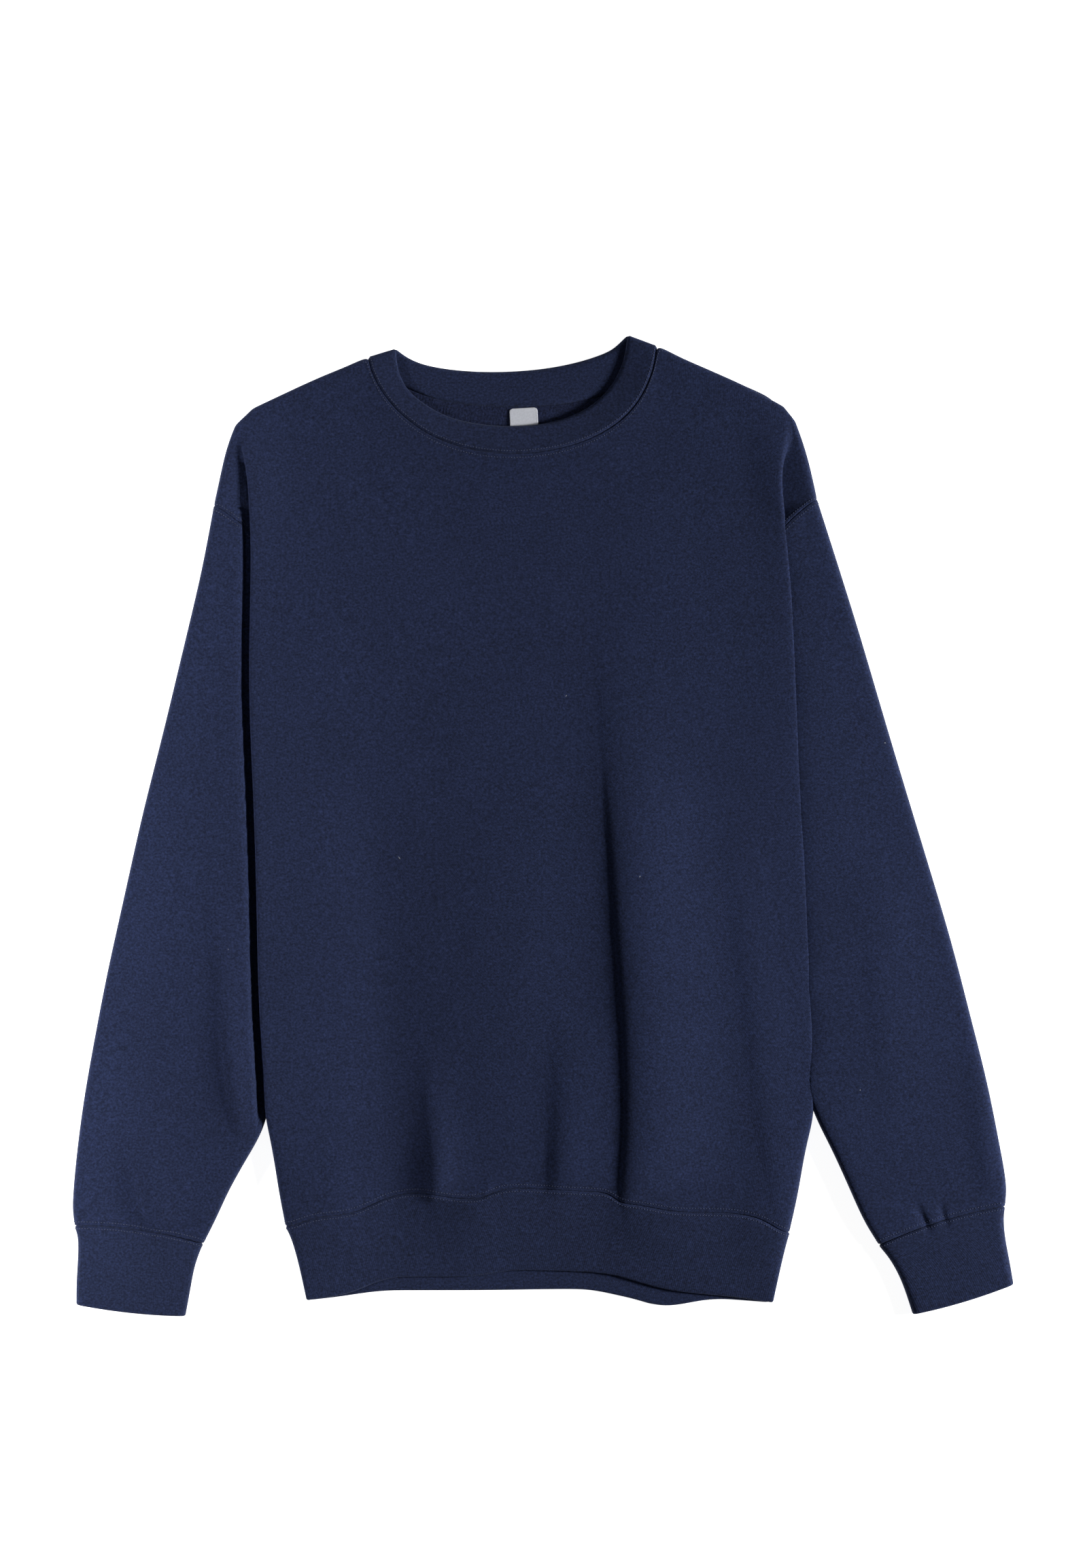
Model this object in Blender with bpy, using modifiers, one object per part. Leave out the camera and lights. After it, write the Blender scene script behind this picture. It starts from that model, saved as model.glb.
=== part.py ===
"""Crewneck sweatshirt laid flat on its back, neck towards +Y and front facing up.

Lengths are in millimetres until a mesh is made, which takes them to metres. The underside of every
layer that rests lies on z = 0 and the origin is the middle of the garment's outline. The sides are
the wearer's: the right sleeve lies at -X and the left sleeve at +X. On one side, places are given as
"out", the distance from the middle line outwards, so that one set of functions makes both.
"""

import math
from collections import namedtuple

import bpy

MM = 0.001

# Cloth
FLEECE = 2.0  # wall of the brushed fleece panels and sleeves
RIB = 3.0  # wall of the folded rib bands
LABEL = 1.0  # wall of the woven neck label
SEAM = 0.3  # gap between two pieces at a seam
CURVED_SEAM = 0.4  # the same where a seam is curved
CORNER_SEAMS = (1.3, 1.15, 0.9, 0.6)  # the same at the stations from where the neck rib turns to the back
ARMHOLE_END_SEAM = 0.7  # the same at the ends of an armhole

# Heights of the middle of a fleece wall above the surface it lies on
RESTING = FLEECE / 2
FRONT_EDGE = 4.32  # edge of the front at the shoulder seam, half-way up the closed edge
BACK_EDGE = 3.68
SHOULDER = 7.2  # upper layer just inside a closed edge
PRESSED = 4.4  # upper layer of a sleeve where the body lies on it
TURN = 2.15  # radius of the folds where the body turns back on itself
RETURN = PRESSED + 2 * TURN  # layer of the body that lies over the sleeve
FOLD_TOP = RETURN + 2 * TURN  # front just inside its folded side
HEM_SIDE_HEIGHT = 9.0  # front just inside its rolled side at the hem
CUFF_HEIGHT = 9.2  # middle of the upper wall of a cuff

ROUND = 3.2  # how far in from an outline its rounding reaches
ROUND_STEPS = (0.0, 0.29, 1.0)  # shares of that reach at the points round the edge of a tube
EDGE_STEPS = (0.0, 0.03, 0.35, 1.0)  # the same for the edge of a panel, which starts upright
SIDE_WRAP = 12.0  # how far the front turns under the body below the sleeves
SIDE_SEAM_INSET = 11.0  # side seam inside the inner edge of the sleeve
ARMPIT_GAP = 3.0  # how much further the back stays from the front at the armpit
SLEEVE_LEAVES = -206.0  # height on the body below which the sleeve starts to lie beside it

Place = namedtuple("Place", "out y")
Column = namedtuple("Column", "name top chest waist hem z_chest z_waist z_hem")
NeckStation = namedtuple("NeckStation", "seam_x seam_y seam_z edge_x edge_y edge_z")
Station = namedtuple("Station", "outer_out outer_y inner_out inner_y height")
Crease = namedtuple("Crease", "out y end_out end_y width depth")
Side = namedtuple(
    "Side", "sign shoulder corner outline fold fold_starts armhole_bend armpit_bend sleeve cuff creases"
)

CHEST_Y = 100.0
WAIST_Y = -100.0

# Lines down the front from the neck or shoulder to the hem. Each has its x at four heights of the
# body, and the height of the cloth there. A fold of the front is a low or a high line.
FRONT_COLUMNS = (
    Column("right_shoulder_out", -193.0, -193.0, -193.0, -172.0, 12.2, 12.8, 10.4),
    Column("right_shoulder", -162.0, -168.0, -166.0, -153.0, 11.4, 12.8, 10.6),
    Column("right_neck_point", None, -148.0, -136.0, -134.0, 11.2, 13.4, 11.6),
    Column("right_neck_high", None, -134.0, -121.0, -117.0, 10.8, 12.6, 11.2),
    Column("right_neck_side", None, -118.0, -107.0, -102.0, 10.4, 10.8, 9.8),
    Column("right_trough", None, -98.0, -91.0, -86.0, 10.2, 9.6, 9.2),
    Column("right_trough_side", None, -74.0, -73.0, -70.0, 10.6, 11.4, 10.2),
    Column("middle_right", None, -46.0, -46.0, -47.0, 11.0, 12.4, 11.0),
    Column("middle", None, -16.0, -20.0, -24.0, 11.2, 12.6, 11.6),
    Column("short_trough", None, 8.0, 4.0, 4.0, 10.8, 12.0, 9.9),
    Column("deep_fold_brink", None, 28.0, 36.0, 38.0, 10.9, 12.9, 12.2),
    Column("deep_fold", None, 42.0, 56.0, 55.0, 9.9, 9.2, 9.0),
    Column("left_ridge_side", None, 55.0, 65.0, 64.0, 11.2, 13.2, 12.0),
    Column("left_ridge", None, 76.0, 86.0, 90.0, 11.8, 14.4, 12.4),
    Column("left_neck_point", None, 100.0, 108.0, 114.0, 11.6, 13.6, 11.4),
    Column("left_trough", 118.0, 125.0, 132.0, 140.0, 11.0, 11.0, 9.8),
    Column("left_shoulder_out", 152.0, 154.0, 160.0, 162.0, 11.6, 11.8, 10.2),
)
RIGHT_NECK_COLUMN = 2
LEFT_NECK_COLUMN = 14

# Where lines of the back meet the shoulder seam
BACK_SHOULDER_RIGHT = (-211.0, -203.0, -195.0, -177.0, -161.0, -146.0)
BACK_SHOULDER_LEFT = (101.0, 118.0, 135.0, 152.0, 162.0, 172.0)

# Front half of the neck rib, from the wearer's right shoulder to the left: the seam to the front
# panel and the rib's folded edge. The first and last rows are the shoulder points.
NECK_FRONT = (
    NeckStation(-130.6, 348.0, 4.3, -109.6, 353.6, 4.9),
    NeckStation(-128.2, 341.0, 7.4, -108.6, 345.0, 8.2),
    NeckStation(-120.0, 324.5, 7.9, -104.0, 331.4, 9.2),
    NeckStation(-106.0, 308.0, 8.3, -94.0, 319.9, 9.8),
    NeckStation(-84.0, 292.0, 8.8, -72.5, 306.6, 10.4),
    NeckStation(-56.0, 281.9, 9.2, -46.0, 300.4, 10.8),
    NeckStation(-25.0, 278.3, 9.4, -17.5, 299.1, 11.0),
    NeckStation(8.0, 281.2, 9.4, 8.5, 302.4, 11.0),
    NeckStation(38.5, 290.9, 9.0, 32.0, 311.6, 10.6),
    NeckStation(62.0, 306.2, 8.6, 48.5, 326.0, 10.0),
    NeckStation(76.5, 326.0, 8.0, 57.3, 341.0, 9.3),
    NeckStation(83.6, 346.5, 7.4, 61.6, 355.0, 8.2),
    NeckStation(85.4, 356.2, 4.3, 63.1, 363.6, 4.9),
)
# Back half, from the left shoulder to the right one, flat on the surface.
NECK_BACK = (
    NeckStation(81.0, 346.5, 1.5, 54.0, 358.2, 1.5),
    NeckStation(66.0, 331.5, 1.5, 43.0, 352.5, 1.5),
    NeckStation(42.0, 321.0, 1.5, 24.0, 346.6, 1.5),
    NeckStation(10.0, 315.2, 1.5, 0.8, 342.2, 1.5),
    NeckStation(-22.0, 314.0, 1.5, -24.0, 340.1, 1.5),
    NeckStation(-54.0, 315.4, 1.5, -49.0, 340.0, 1.5),
    NeckStation(-84.0, 320.6, 1.5, -72.0, 342.0, 1.5),
    NeckStation(-108.0, 331.0, 1.5, -90.5, 345.8, 1.5),
    NeckStation(-124.0, 341.5, 1.5, -102.5, 351.4, 1.5),
)

# Seam between the front and the hem band, x and y; it rides up between the gathers.
HEM_SEAM = (
    (-192.4, -297.1), (-165.0, -290.2), (-148.3, -288.8), (-132.6, -283.9), (-115.3, -275.8),
    (-90.0, -272.3), (-69.7, -275.6), (-49.9, -277.6), (-38.0, -271.6), (-24.6, -268.7),
    (13.4, -270.2), (50.0, -272.3), (57.0, -278.9), (75.8, -281.9), (98.6, -286.5),
    (140.0, -287.5), (161.5, -291.5), (184.3, -301.7),
)
HEM_EDGE_FRONT = (
    (-174.7, -352.9), (-155.4, -350.0), (-138.2, -345.6), (-124.0, -339.2), (-105.7, -335.6),
    (-58.6, -335.4), (-20.0, -330.6), (30.2, -331.6), (52.0, -334.1), (75.8, -340.7),
    (96.1, -345.8), (144.2, -350.8), (170.6, -354.6),
)
HEM_EDGE_BACK = (
    (-174.7, -353.2), (-155.4, -351.0), (-112.8, -345.9), (-55.5, -345.8), (27.6, -344.9),
    (61.6, -350.8), (93.0, -357.8), (111.3, -354.9), (125.5, -352.2), (170.6, -354.9),
)
HEM_SEAM_BACK = ((-192.4, -299.0), (-90.0, -289.0), (60.0, -289.0), (184.3, -302.0))
# How the band narrows below its seam: share of its depth, right and left edge.
HEM_SIDES = ((0.0, 192.0, 184.0), (0.14, 187.4, 181.6), (0.5, 181.6, 177.0), (1.0, 175.7, 171.3))
HEM_LIFT = 0.6  # how much higher the open edge of the front band lies than its seam

RIGHT_SIDE = Side(
    sign=-1,
    shoulder=((131.1, 349.3), (150.0, 342.6), (172.6, 333.1), (198.5, 320.9), (214.7, 312.6)),
    corner=(Place(215.5, 312.0), Place(229.0, 300.0)),
    outline=((300.0, 229.0), (292.5, 233.0), (272.3, 238.5), (252.0, 242.8), (239.8, 245.6)),
    fold=(
        (312.0, 224.0), (276.8, 222.3), (253.0, 219.8), (202.3, 217.8), (100.0, 218.6),
        (8.6, 218.8), (-105.5, 214.7), (-214.5, 209.6), (-234.7, 203.2), (-260.0, 199.0),
        (-291.5, 194.4), (-297.1, 192.4),
    ),
    fold_starts=286.0,
    armhole_bend=Place(205.0, 218.0),
    armpit_bend=Place(150.0, 150.0),
    sleeve=(
        Station(245.6, 239.8, 130.0, 50.0, 7.4),
        Station(254.8, 191.1, 141.0, 15.0, 7.8),
        Station(268.0, 135.0, 154.0, -27.0, 8.2),
        Station(283.7, 69.5, 168.0, -73.0, 8.4),
        Station(299.0, 9.0, 181.5, -117.0, 8.6),
        Station(312.6, -52.2, 193.5, -158.0, 8.8),
        Station(325.0, -108.0, 203.0, -196.0, 9.0),
        Station(335.6, -163.0, 211.5, -224.0, 9.0),
        Station(343.5, -209.0, 221.0, -244.5, 9.2),
        Station(349.0, -254.0, 233.0, -269.3, 9.4),
        Station(351.1, -283.0, 243.5, -292.0, 9.4),
        Station(349.4, -297.0, 252.6, -310.0, 8.8),
    ),
    cuff=(
        Station(346.8, -305.0, 255.6, -316.6, 9.2),
        Station(346.8, -320.0, 259.8, -328.0, 9.2),
        Station(348.3, -340.0, 262.6, -345.0, 9.2),
        Station(348.2, -356.2, 266.3, -364.6, 9.2),
    ),
    creases=(
        Crease(311.0, -240.0, 293.0, -299.0, 7.0, 1.6),
        Crease(252.0, -70.0, 236.0, -205.0, 9.0, 1.0),
    ),
)
LEFT_SIDE = Side(
    sign=1,
    shoulder=((85.9, 357.6), (105.7, 349.3), (133.6, 337.2), (151.8, 329.0), (169.6, 320.9), (178.0, 314.2)),
    corner=(Place(178.6, 313.6), Place(188.4, 302.6)),
    outline=((302.6, 188.4), (292.5, 192.4), (272.3, 198.5), (252.0, 203.1), (244.4, 204.8)),
    fold=(
        (313.0, 186.0), (294.6, 183.3), (280.4, 179.4), (263.6, 178.2), (241.8, 179.7),
        (208.9, 182.8), (160.7, 186.8), (46.6, 191.9), (-67.4, 198.0), (-208.4, 202.6),
        (-217.5, 201.8), (-234.7, 197.5), (-296.1, 186.3), (-301.7, 184.3),
    ),
    fold_starts=300.0,
    armhole_bend=Place(166.0, 221.5),
    armpit_bend=Place(122.0, 152.0),
    sleeve=(
        Station(204.8, 244.4, 104.0, 52.0, 7.4),
        Station(219.0, 200.0, 117.0, 16.0, 7.8),
        Station(236.5, 144.0, 133.0, -26.0, 8.2),
        Station(255.0, 81.0, 149.5, -71.0, 8.4),
        Station(273.0, 21.0, 166.0, -115.0, 8.6),
        Station(290.0, -35.0, 181.0, -156.0, 8.8),
        Station(305.5, -87.5, 194.0, -192.0, 9.0),
        Station(319.5, -142.0, 204.2, -218.5, 9.0),
        Station(331.6, -190.0, 214.5, -239.0, 9.2),
        Station(340.2, -233.0, 226.0, -264.0, 9.4),
        Station(346.2, -268.0, 239.0, -293.0, 9.4),
        Station(345.0, -282.6, 250.0, -310.8, 8.8),
    ),
    cuff=(
        Station(343.8, -292.0, 256.8, -319.2, 9.2),
        Station(345.0, -307.0, 263.8, -330.5, 9.2),
        Station(348.6, -324.0, 269.4, -343.5, 9.2),
        Station(351.4, -341.4, 275.6, -363.2, 9.2),
    ),
    creases=(
        Crease(282.0, -262.0, 287.5, -297.0, 5.0, 1.6),
        Crease(297.0, -268.0, 301.0, -295.0, 4.0, 1.2),
        Crease(243.0, -62.0, 240.0, -150.0, 12.0, 0.9),
    ),
)
CUFF_SEAM_BOW = 4.6  # how far the sleeve's end bows up over the cuff
CUFF_EDGE_BOW = -2.4

# Steps across a sleeve between its two rounded edges, as shares of its width
ACROSS = (0.07, 0.15, 0.25, 0.36, 0.48, 0.60, 0.72, 0.84)

# Height on the body of each row of the front, at its folded side, below the three of the shoulder's
# rounding: three down to the armhole, one for each step across the sleeve, then down to the hem.
ROWS_TO_ARMHOLE = (293.0, 278.0, 262.0)
ROWS_ON_ARMHOLE = (248.0, 245.5, 242.0, 236.5, 229.5, 219.5, 206.0, 188.0, 166.0, 140.0, 110.0, 76.0)
ROWS_BELOW_ARMPIT = (46.0, 16.0, -18.0, -53.0, -90.0, -128.0, -164.0, -194.0, -214.0, -230.0, -248.0, -272.0)
# Height of the side seam at the first of those rows, which drop towards it
SIDE_SEAM_ROWS = (44.0, 12.0, -20.0, -54.0)
FIRST_ARMHOLE_ROW = len(EDGE_STEPS) + len(ROWS_TO_ARMHOLE)
FIRST_SIDE_SEAM_ROW = FIRST_ARMHOLE_ROW + len(ROWS_ON_ARMHOLE)

LABEL_WIDTH = 21.0
LABEL_LENGTH = 20.0
LABEL_PLACE = (-14.6, 312.9)  # middle of its sewn edge, under the back seam of the neck rib
LABEL_TILT = math.radians(3.0)
LABEL_CURL = 0.9

# Colour, roughness
NAVY_FLEECE = ((0.0160, 0.0232, 0.0545, 1.0), 0.95)
NAVY_RIB = ((0.0150, 0.0218, 0.0510, 1.0), 0.92)
WOVEN_WHITE = ((0.78, 0.77, 0.74, 1.0), 0.60)


def lerp(a, b, share):
    return a + (b - a) * share


def ease(share):
    """0 to 1 with flat ends."""
    share = min(max(share, 0.0), 1.0)
    return share * share * (3.0 - 2.0 * share)


def rounding(reach):
    """Height of a quarter circle at a share of its reach, from 0 at its tip to 1."""
    return math.sqrt(max(0.0, 1.0 - (1.0 - min(reach, 1.0)) ** 2))


def smooth(pairs, at):
    """Value at a place of (place, value) pairs, a cubic that never overshoots its rows."""
    rows = sorted(pairs)
    if at <= rows[0][0]:
        return rows[0][1]
    if at >= rows[-1][0]:
        return rows[-1][1]
    steps = [after[0] - before[0] for before, after in zip(rows, rows[1:])]
    slopes = [(after[1] - before[1]) / step for before, after, step in zip(rows, rows[1:], steps)]
    bends = [slopes[0]]
    for before, after in zip(slopes, slopes[1:]):
        bends.append(2.0 * before * after / (before + after) if before * after > 0.0 else 0.0)
    bends.append(slopes[-1])
    i = next(k for k in range(len(steps)) if at <= rows[k + 1][0])
    t = (at - rows[i][0]) / steps[i]
    start = (1.0 + 2.0 * t) * (1.0 - t) ** 2 * rows[i][1] + t * (1.0 - t) ** 2 * steps[i] * bends[i]
    end = t * t * (3.0 - 2.0 * t) * rows[i + 1][1] + t * t * (t - 1.0) * steps[i] * bends[i + 1]
    return start + end


def field_at(rows, field, at):
    """A field of a table at a fractional row number."""
    return smooth([(i, getattr(row, field)) for i, row in enumerate(rows)], at)


def halved(rows):
    """The rows of a table with one more between each two, on the same smooth curve."""
    steps = [i / 2 for i in range(2 * len(rows) - 1)]
    return [type(rows[0])(*(field_at(rows, field, at) for field in rows[0]._fields)) for at in steps]


def blend(first, second, share):
    return [tuple(lerp(a, b, share) for a, b in zip(p, q)) for p, q in zip(first, second)]


# ---- Lines across a sleeve, which the armhole and the cuff seam share


def seam_cubic(side, station, wall=FLEECE, bend=0.0, bow=0.0):
    """Control places of the line across a sleeve or cuff, from its outer edge to its inner edge.

    bend is 1 at the armhole, where the line has its full curve. bow lifts its middle.
    """
    start = side.sleeve[0]
    outer = Place(station.outer_out - wall / 2, station.outer_y)
    inner = Place(station.inner_out + wall / 2, station.inner_y)
    controls = [outer]
    for share, bent in ((1 / 3, side.armhole_bend), (2 / 3, side.armpit_bend)):
        out = bent.out - lerp(start.outer_out, start.inner_out, share)
        y = bent.y - lerp(start.outer_y, start.inner_y, share)
        straight = Place(lerp(outer.out, inner.out, share), lerp(outer.y, inner.y, share))
        controls.append(Place(straight.out + bend * out, straight.y + bend * y + bow))
    return controls + [inner]


def cubic_place(controls, t):
    weights = ((1 - t) ** 3, 3 * t * (1 - t) ** 2, 3 * t * t * (1 - t), t**3)
    return Place(*(sum(w * p[axis] for w, p in zip(weights, controls)) for axis in (0, 1)))


def shares_across(controls):
    """Shares along a cubic for the points across a sleeve, close together at its round edges."""
    first = 3.0 * math.dist(controls[0], controls[1])
    last = 3.0 * math.dist(controls[2], controls[3])
    start = [ROUND * step / first for step in ROUND_STEPS]
    end = [1.0 - ROUND * step / last for step in reversed(ROUND_STEPS)]
    return start + list(ACROSS) + end


def tube_ring(controls, height_at, resting):
    """Closed ring round a flattened tube: over its upper layer, then back along its lower one."""
    places = [cubic_place(controls, share) for share in shares_across(controls)]
    upper = []
    lower = []
    for place in places:
        height = height_at(place)
        turn = rounding(min(math.dist(place, places[0]), math.dist(place, places[-1])) / ROUND)
        middle = (height + resting) / 2
        upper.append((place.out, place.y, lerp(middle, height, turn)))
        lower.append((place.out, place.y, lerp(middle, resting, turn)))
    return upper + lower[-2:0:-1]


def fold_out(side, y):
    """Middle of the wall at the folded side of the body."""
    return smooth(side.fold, y) - FLEECE / 2


def sleeve_inner(side, y):
    """Inner edge of the sleeve, which runs under the body as far as the folded side."""
    return smooth([(row.inner_y, row.inner_out) for row in side.sleeve], y)


def crease_depth(side, place):
    """How far the upper layer of a sleeve dips in its creases, which are deepest at their lower ends."""
    depth = 0.0
    for crease in side.creases:
        run = (crease.end_out - crease.out, crease.end_y - crease.y)
        length = math.hypot(*run)
        off = (place.out - crease.out, place.y - crease.y)
        along = (off[0] * run[0] + off[1] * run[1]) / length
        aside = (off[0] * run[1] - off[1] * run[0]) / length
        ends = ease(along / (0.6 * length)) * ease(1.0 + (length - along) / 8.0)
        depth += crease.depth * ends * math.exp(-((aside / crease.width) ** 2))
    return depth


def sleeve_height(side, place, full):
    """Height of a sleeve's upper layer: full where it is free, pressed where the body lies on it."""
    free = ease((place.out - fold_out(side, place.y) + 2.0) / 22.0)
    return lerp(PRESSED, full - crease_depth(side, place), free)


def armhole_places(side):
    """Places of the body's edge along the armhole, from the outline towards the armpit."""
    controls = seam_cubic(side, side.sleeve[0], bend=1.0)
    places = []
    for i, share in enumerate(shares_across(controls)[: len(ROWS_ON_ARMHOLE)]):
        here = cubic_place(controls, share)
        ahead = cubic_place(controls, share + 0.01)
        from_end = min(i, 2 * (len(ROWS_ON_ARMHOLE) - 1 - i))
        run = math.dist(here, ahead) / lerp(ARMHOLE_END_SEAM, CURVED_SEAM, min(1.0, from_end / 4))
        places.append(Place(here.out + (ahead.y - here.y) / run, here.y - (ahead.out - here.out) / run))
    return places


# ---- Sides of the body, row by row


def down(top, bottom):
    """Heights on the body of one line of the front or back, at every row."""
    start = RIGHT_SIDE.corner[0].y
    end = RIGHT_SIDE.fold[-1][0]
    rows = ROWS_TO_ARMHOLE + ROWS_ON_ARMHOLE + ROWS_BELOW_ARMPIT + (end,)
    rounded = [top - ROUND * step for step in EDGE_STEPS]
    return rounded + [lerp(top, bottom, (start - y) / (start - end)) for y in rows]


def row_ends(side):
    """The outer end of every row: down the outline, along the armhole, then down the side seam."""
    top = side.corner[1].y
    low = side.outline[-1][0]
    ys = [top - ROUND * step for step in EDGE_STEPS]
    steps = len(ROWS_TO_ARMHOLE)
    ys += [lerp(top - ROUND, low, (i + 1) / (steps + 1)) for i in range(steps)]
    ends = [Place(smooth(side.outline, y) - FLEECE / 2, y) for y in ys]
    ends += armhole_places(side)
    beside_body = down(side.corner[0].y, side.fold[-1][0])[FIRST_SIDE_SEAM_ROW + len(SIDE_SEAM_ROWS):]
    for y in [*SIDE_SEAM_ROWS, *beside_body]:
        under_sleeve = min(sleeve_inner(side, y), fold_out(side, y) - TURN) - SIDE_SEAM_INSET
        rolled_under = fold_out(side, y) - SIDE_WRAP
        ends.append(Place(lerp(under_sleeve, rolled_under, freed_share(y)), y))
    return ends


def freed_share(y):
    """0 where the sleeve lies under the side of the body, 1 where the side is free of it."""
    return ease((SLEEVE_LEAVES - y) / 38.0)


def turn_points(out, middle, radius):
    """Five points round a fold whose outermost point is given, from below it to its top."""
    points = []
    for step in range(5):
        angle = math.radians(45.0 * step - 90.0)
        points.append((out - radius + radius * math.cos(angle), middle + radius * math.sin(angle)))
    return points


def smooth_side(end, inner_out, height):
    """Side of a row above the fold, where the shoulder runs smoothly out to the outline."""
    section = [(end.out - ROUND * step, lerp(FRONT_EDGE, SHOULDER, rounding(step))) for step in EDGE_STEPS]
    for step in range(1, 9):
        out = lerp(end.out - ROUND, inner_out, step / 8)
        section.append((out, lerp(SHOULDER, height, ease(step / 8))))
    return section


def tucked_side(side, end, end_z, fold):
    """Side of a row at the armhole: in under the body, back out over that, and round to the front."""
    tuck = min(fold - 8.0, end.out - 14.0)
    section = []
    for step in EDGE_STEPS:
        place = Place(end.out - ROUND * step, end.y)
        full = sleeve_height(side, place, side.sleeve[0].height)
        section.append((place.out, lerp(end_z, full, rounding(step))))
    section += [(tuck + TURN, PRESSED), (tuck, PRESSED + TURN), (tuck + TURN, RETURN)]
    return section + turn_points(fold, RETURN + TURN, TURN)


def stepped_side(side, end, fold):
    """Side of a row below the armpit: up over the inner edge of the sleeve and out to the fold."""
    inner = sleeve_inner(side, end.y)
    wall = fold - TURN
    section = [
        (end.out, RESTING),
        (end.out + 2.0, RESTING),
        (end.out + 4.0, RESTING),
        (min(inner - 4.6, wall - 3.4), RESTING + 0.9),
        (min(inner - 2.7, wall - 1.8), 3.5),
        (min(inner - 1.2, wall - 0.9), 6.8),
        (min(inner + 3.0, wall - 0.3), RETURN),
    ]
    return section + turn_points(fold, RETURN + TURN, TURN)


def rolled_side(end, fold, height):
    """Side of a row below the sleeve: rolled round to the underside."""
    radius = (height - RESTING) / 2
    section = [(lerp(end.out, fold - radius, step / 7), RESTING) for step in range(7)]
    return section + turn_points(fold, RESTING + radius, radius)


def side_rows(side):
    """For every row of the front, twelve points from its end round the folded side to its top."""
    top = side.corner[0]
    rows = []
    for j, (end, y) in enumerate(zip(row_ends(side), down(top.y, side.fold[-1][0]))):
        fold = fold_out(side, y)
        if j < FIRST_ARMHOLE_ROW:
            inner_out = lerp(top.out, fold - TURN, ease((top.y - y) / 16.0))
            height = lerp(SHOULDER, FOLD_TOP - 0.8, ease((top.y - y) / 45.0))
            rounded = smooth_side(end, inner_out, height)
            tucked = tucked_side(side, end, FRONT_EDGE, fold)
            section = blend(rounded, tucked, ease((side.fold_starts - y) / 36.0))
        elif j < FIRST_SIDE_SEAM_ROW:
            start = row_ends(side)[FIRST_ARMHOLE_ROW]
            full = sleeve_height(side, end, side.sleeve[0].height)
            end_z = lerp(FRONT_EDGE, full, rounding(math.dist(end, start) / ROUND))
            section = tucked_side(side, end, end_z, fold)
        else:
            height = lerp(FOLD_TOP, HEM_SIDE_HEIGHT, ease((-200.0 - y) / 90.0))
            section = blend(stepped_side(side, end, fold), rolled_side(end, fold, height), freed_share(y))
        ys = [lerp(end.y, y, ease(i / 11)) for i in range(12)]
        if j < len(EDGE_STEPS):
            section = [(out, lerp(FRONT_EDGE, z, rounding(EDGE_STEPS[j]))) for out, z in section]
            ys = [lerp(end.y, y, (end.out - out) / (end.out - section[-1][0])) for out, z in section]
        rows.append([(side.sign * out, row_y, z) for (out, z), row_y in zip(section, ys)])
    return rows


# ---- Neck


def neck_ring():
    """Stations all round the neck rib, two for each row of its tables, from the right shoulder."""
    rows = NECK_FRONT + NECK_BACK
    count = len(rows)
    corners = (0, len(NECK_FRONT) - 1)
    stations = []
    for i, row in enumerate(rows):
        near = [rows[(i + k) % count] for k in (-1, 0, 1, 2)]
        if i in corners:
            between = corner_station(near[1], near[2])
        elif (i + 1) % count in corners:
            between = corner_station(near[2], near[1])
        else:
            between = NeckStation(*((9.0 * (b + c) - a - d) / 16.0 for a, b, c, d in zip(*near)))
        seam_z = max(between.seam_z, RIB / 2)
        edge_z = max(between.edge_z, RIB / 2)
        stations += [row, between._replace(seam_z=seam_z, edge_z=edge_z)]
    return stations


def corner_station(corner, beside):
    """Station that rounds the rib where it turns from front to back at a shoulder."""
    near = NeckStation(*(lerp(a, b, 0.3) for a, b in zip(corner, beside)))
    far = NeckStation(*(lerp(a, b, 0.75) for a, b in zip(corner, beside)))
    return near._replace(seam_z=far.seam_z, edge_z=far.edge_z)


def panel_edge(stations, index):
    """Where a panel meets the rib at a station, a seam gap away from it."""
    here = stations[index % len(stations)]
    from_corner = min(abs(index - corner) for corner in (0, 2 * (len(NECK_FRONT) - 1), len(stations)))
    gap = (*CORNER_SEAMS, CURVED_SEAM)[min(from_corner, len(CORNER_SEAMS))]
    across = (here.seam_x - here.edge_x, here.seam_y - here.edge_y)
    run = math.hypot(*across) / gap
    return here.seam_x + across[0] / run, here.seam_y + across[1] / run, here.seam_z


def corner_spread(index):
    """How far a line down from the neck seam moves outwards as it rounds the edge at a shoulder."""
    last = 2 * (len(NECK_FRONT) - 1)
    return {0: -1.6, 1: -0.8, last - 1: 0.8, last: 1.6}.get(index, 0.0)


# ---- Front


def shoulder_top(x):
    side = RIGHT_SIDE if x < 0.0 else LEFT_SIDE
    return x, smooth(side.shoulder, abs(x)) - FLEECE / 2, FRONT_EDGE


def front_top(at, stations):
    """Top of a line of the front: on the neck seam, or on the outline of a shoulder."""
    if RIGHT_NECK_COLUMN <= at <= LEFT_NECK_COLUMN:
        return panel_edge(stations, round(2 * (at - RIGHT_NECK_COLUMN)))
    tops = [(i, column.top) for i, column in enumerate(FRONT_COLUMNS) if column.top is not None]
    tops += [(RIGHT_NECK_COLUMN, NECK_FRONT[0].seam_x), (LEFT_NECK_COLUMN, NECK_FRONT[-1].seam_x)]
    return shoulder_top(smooth(tops, at))


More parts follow.
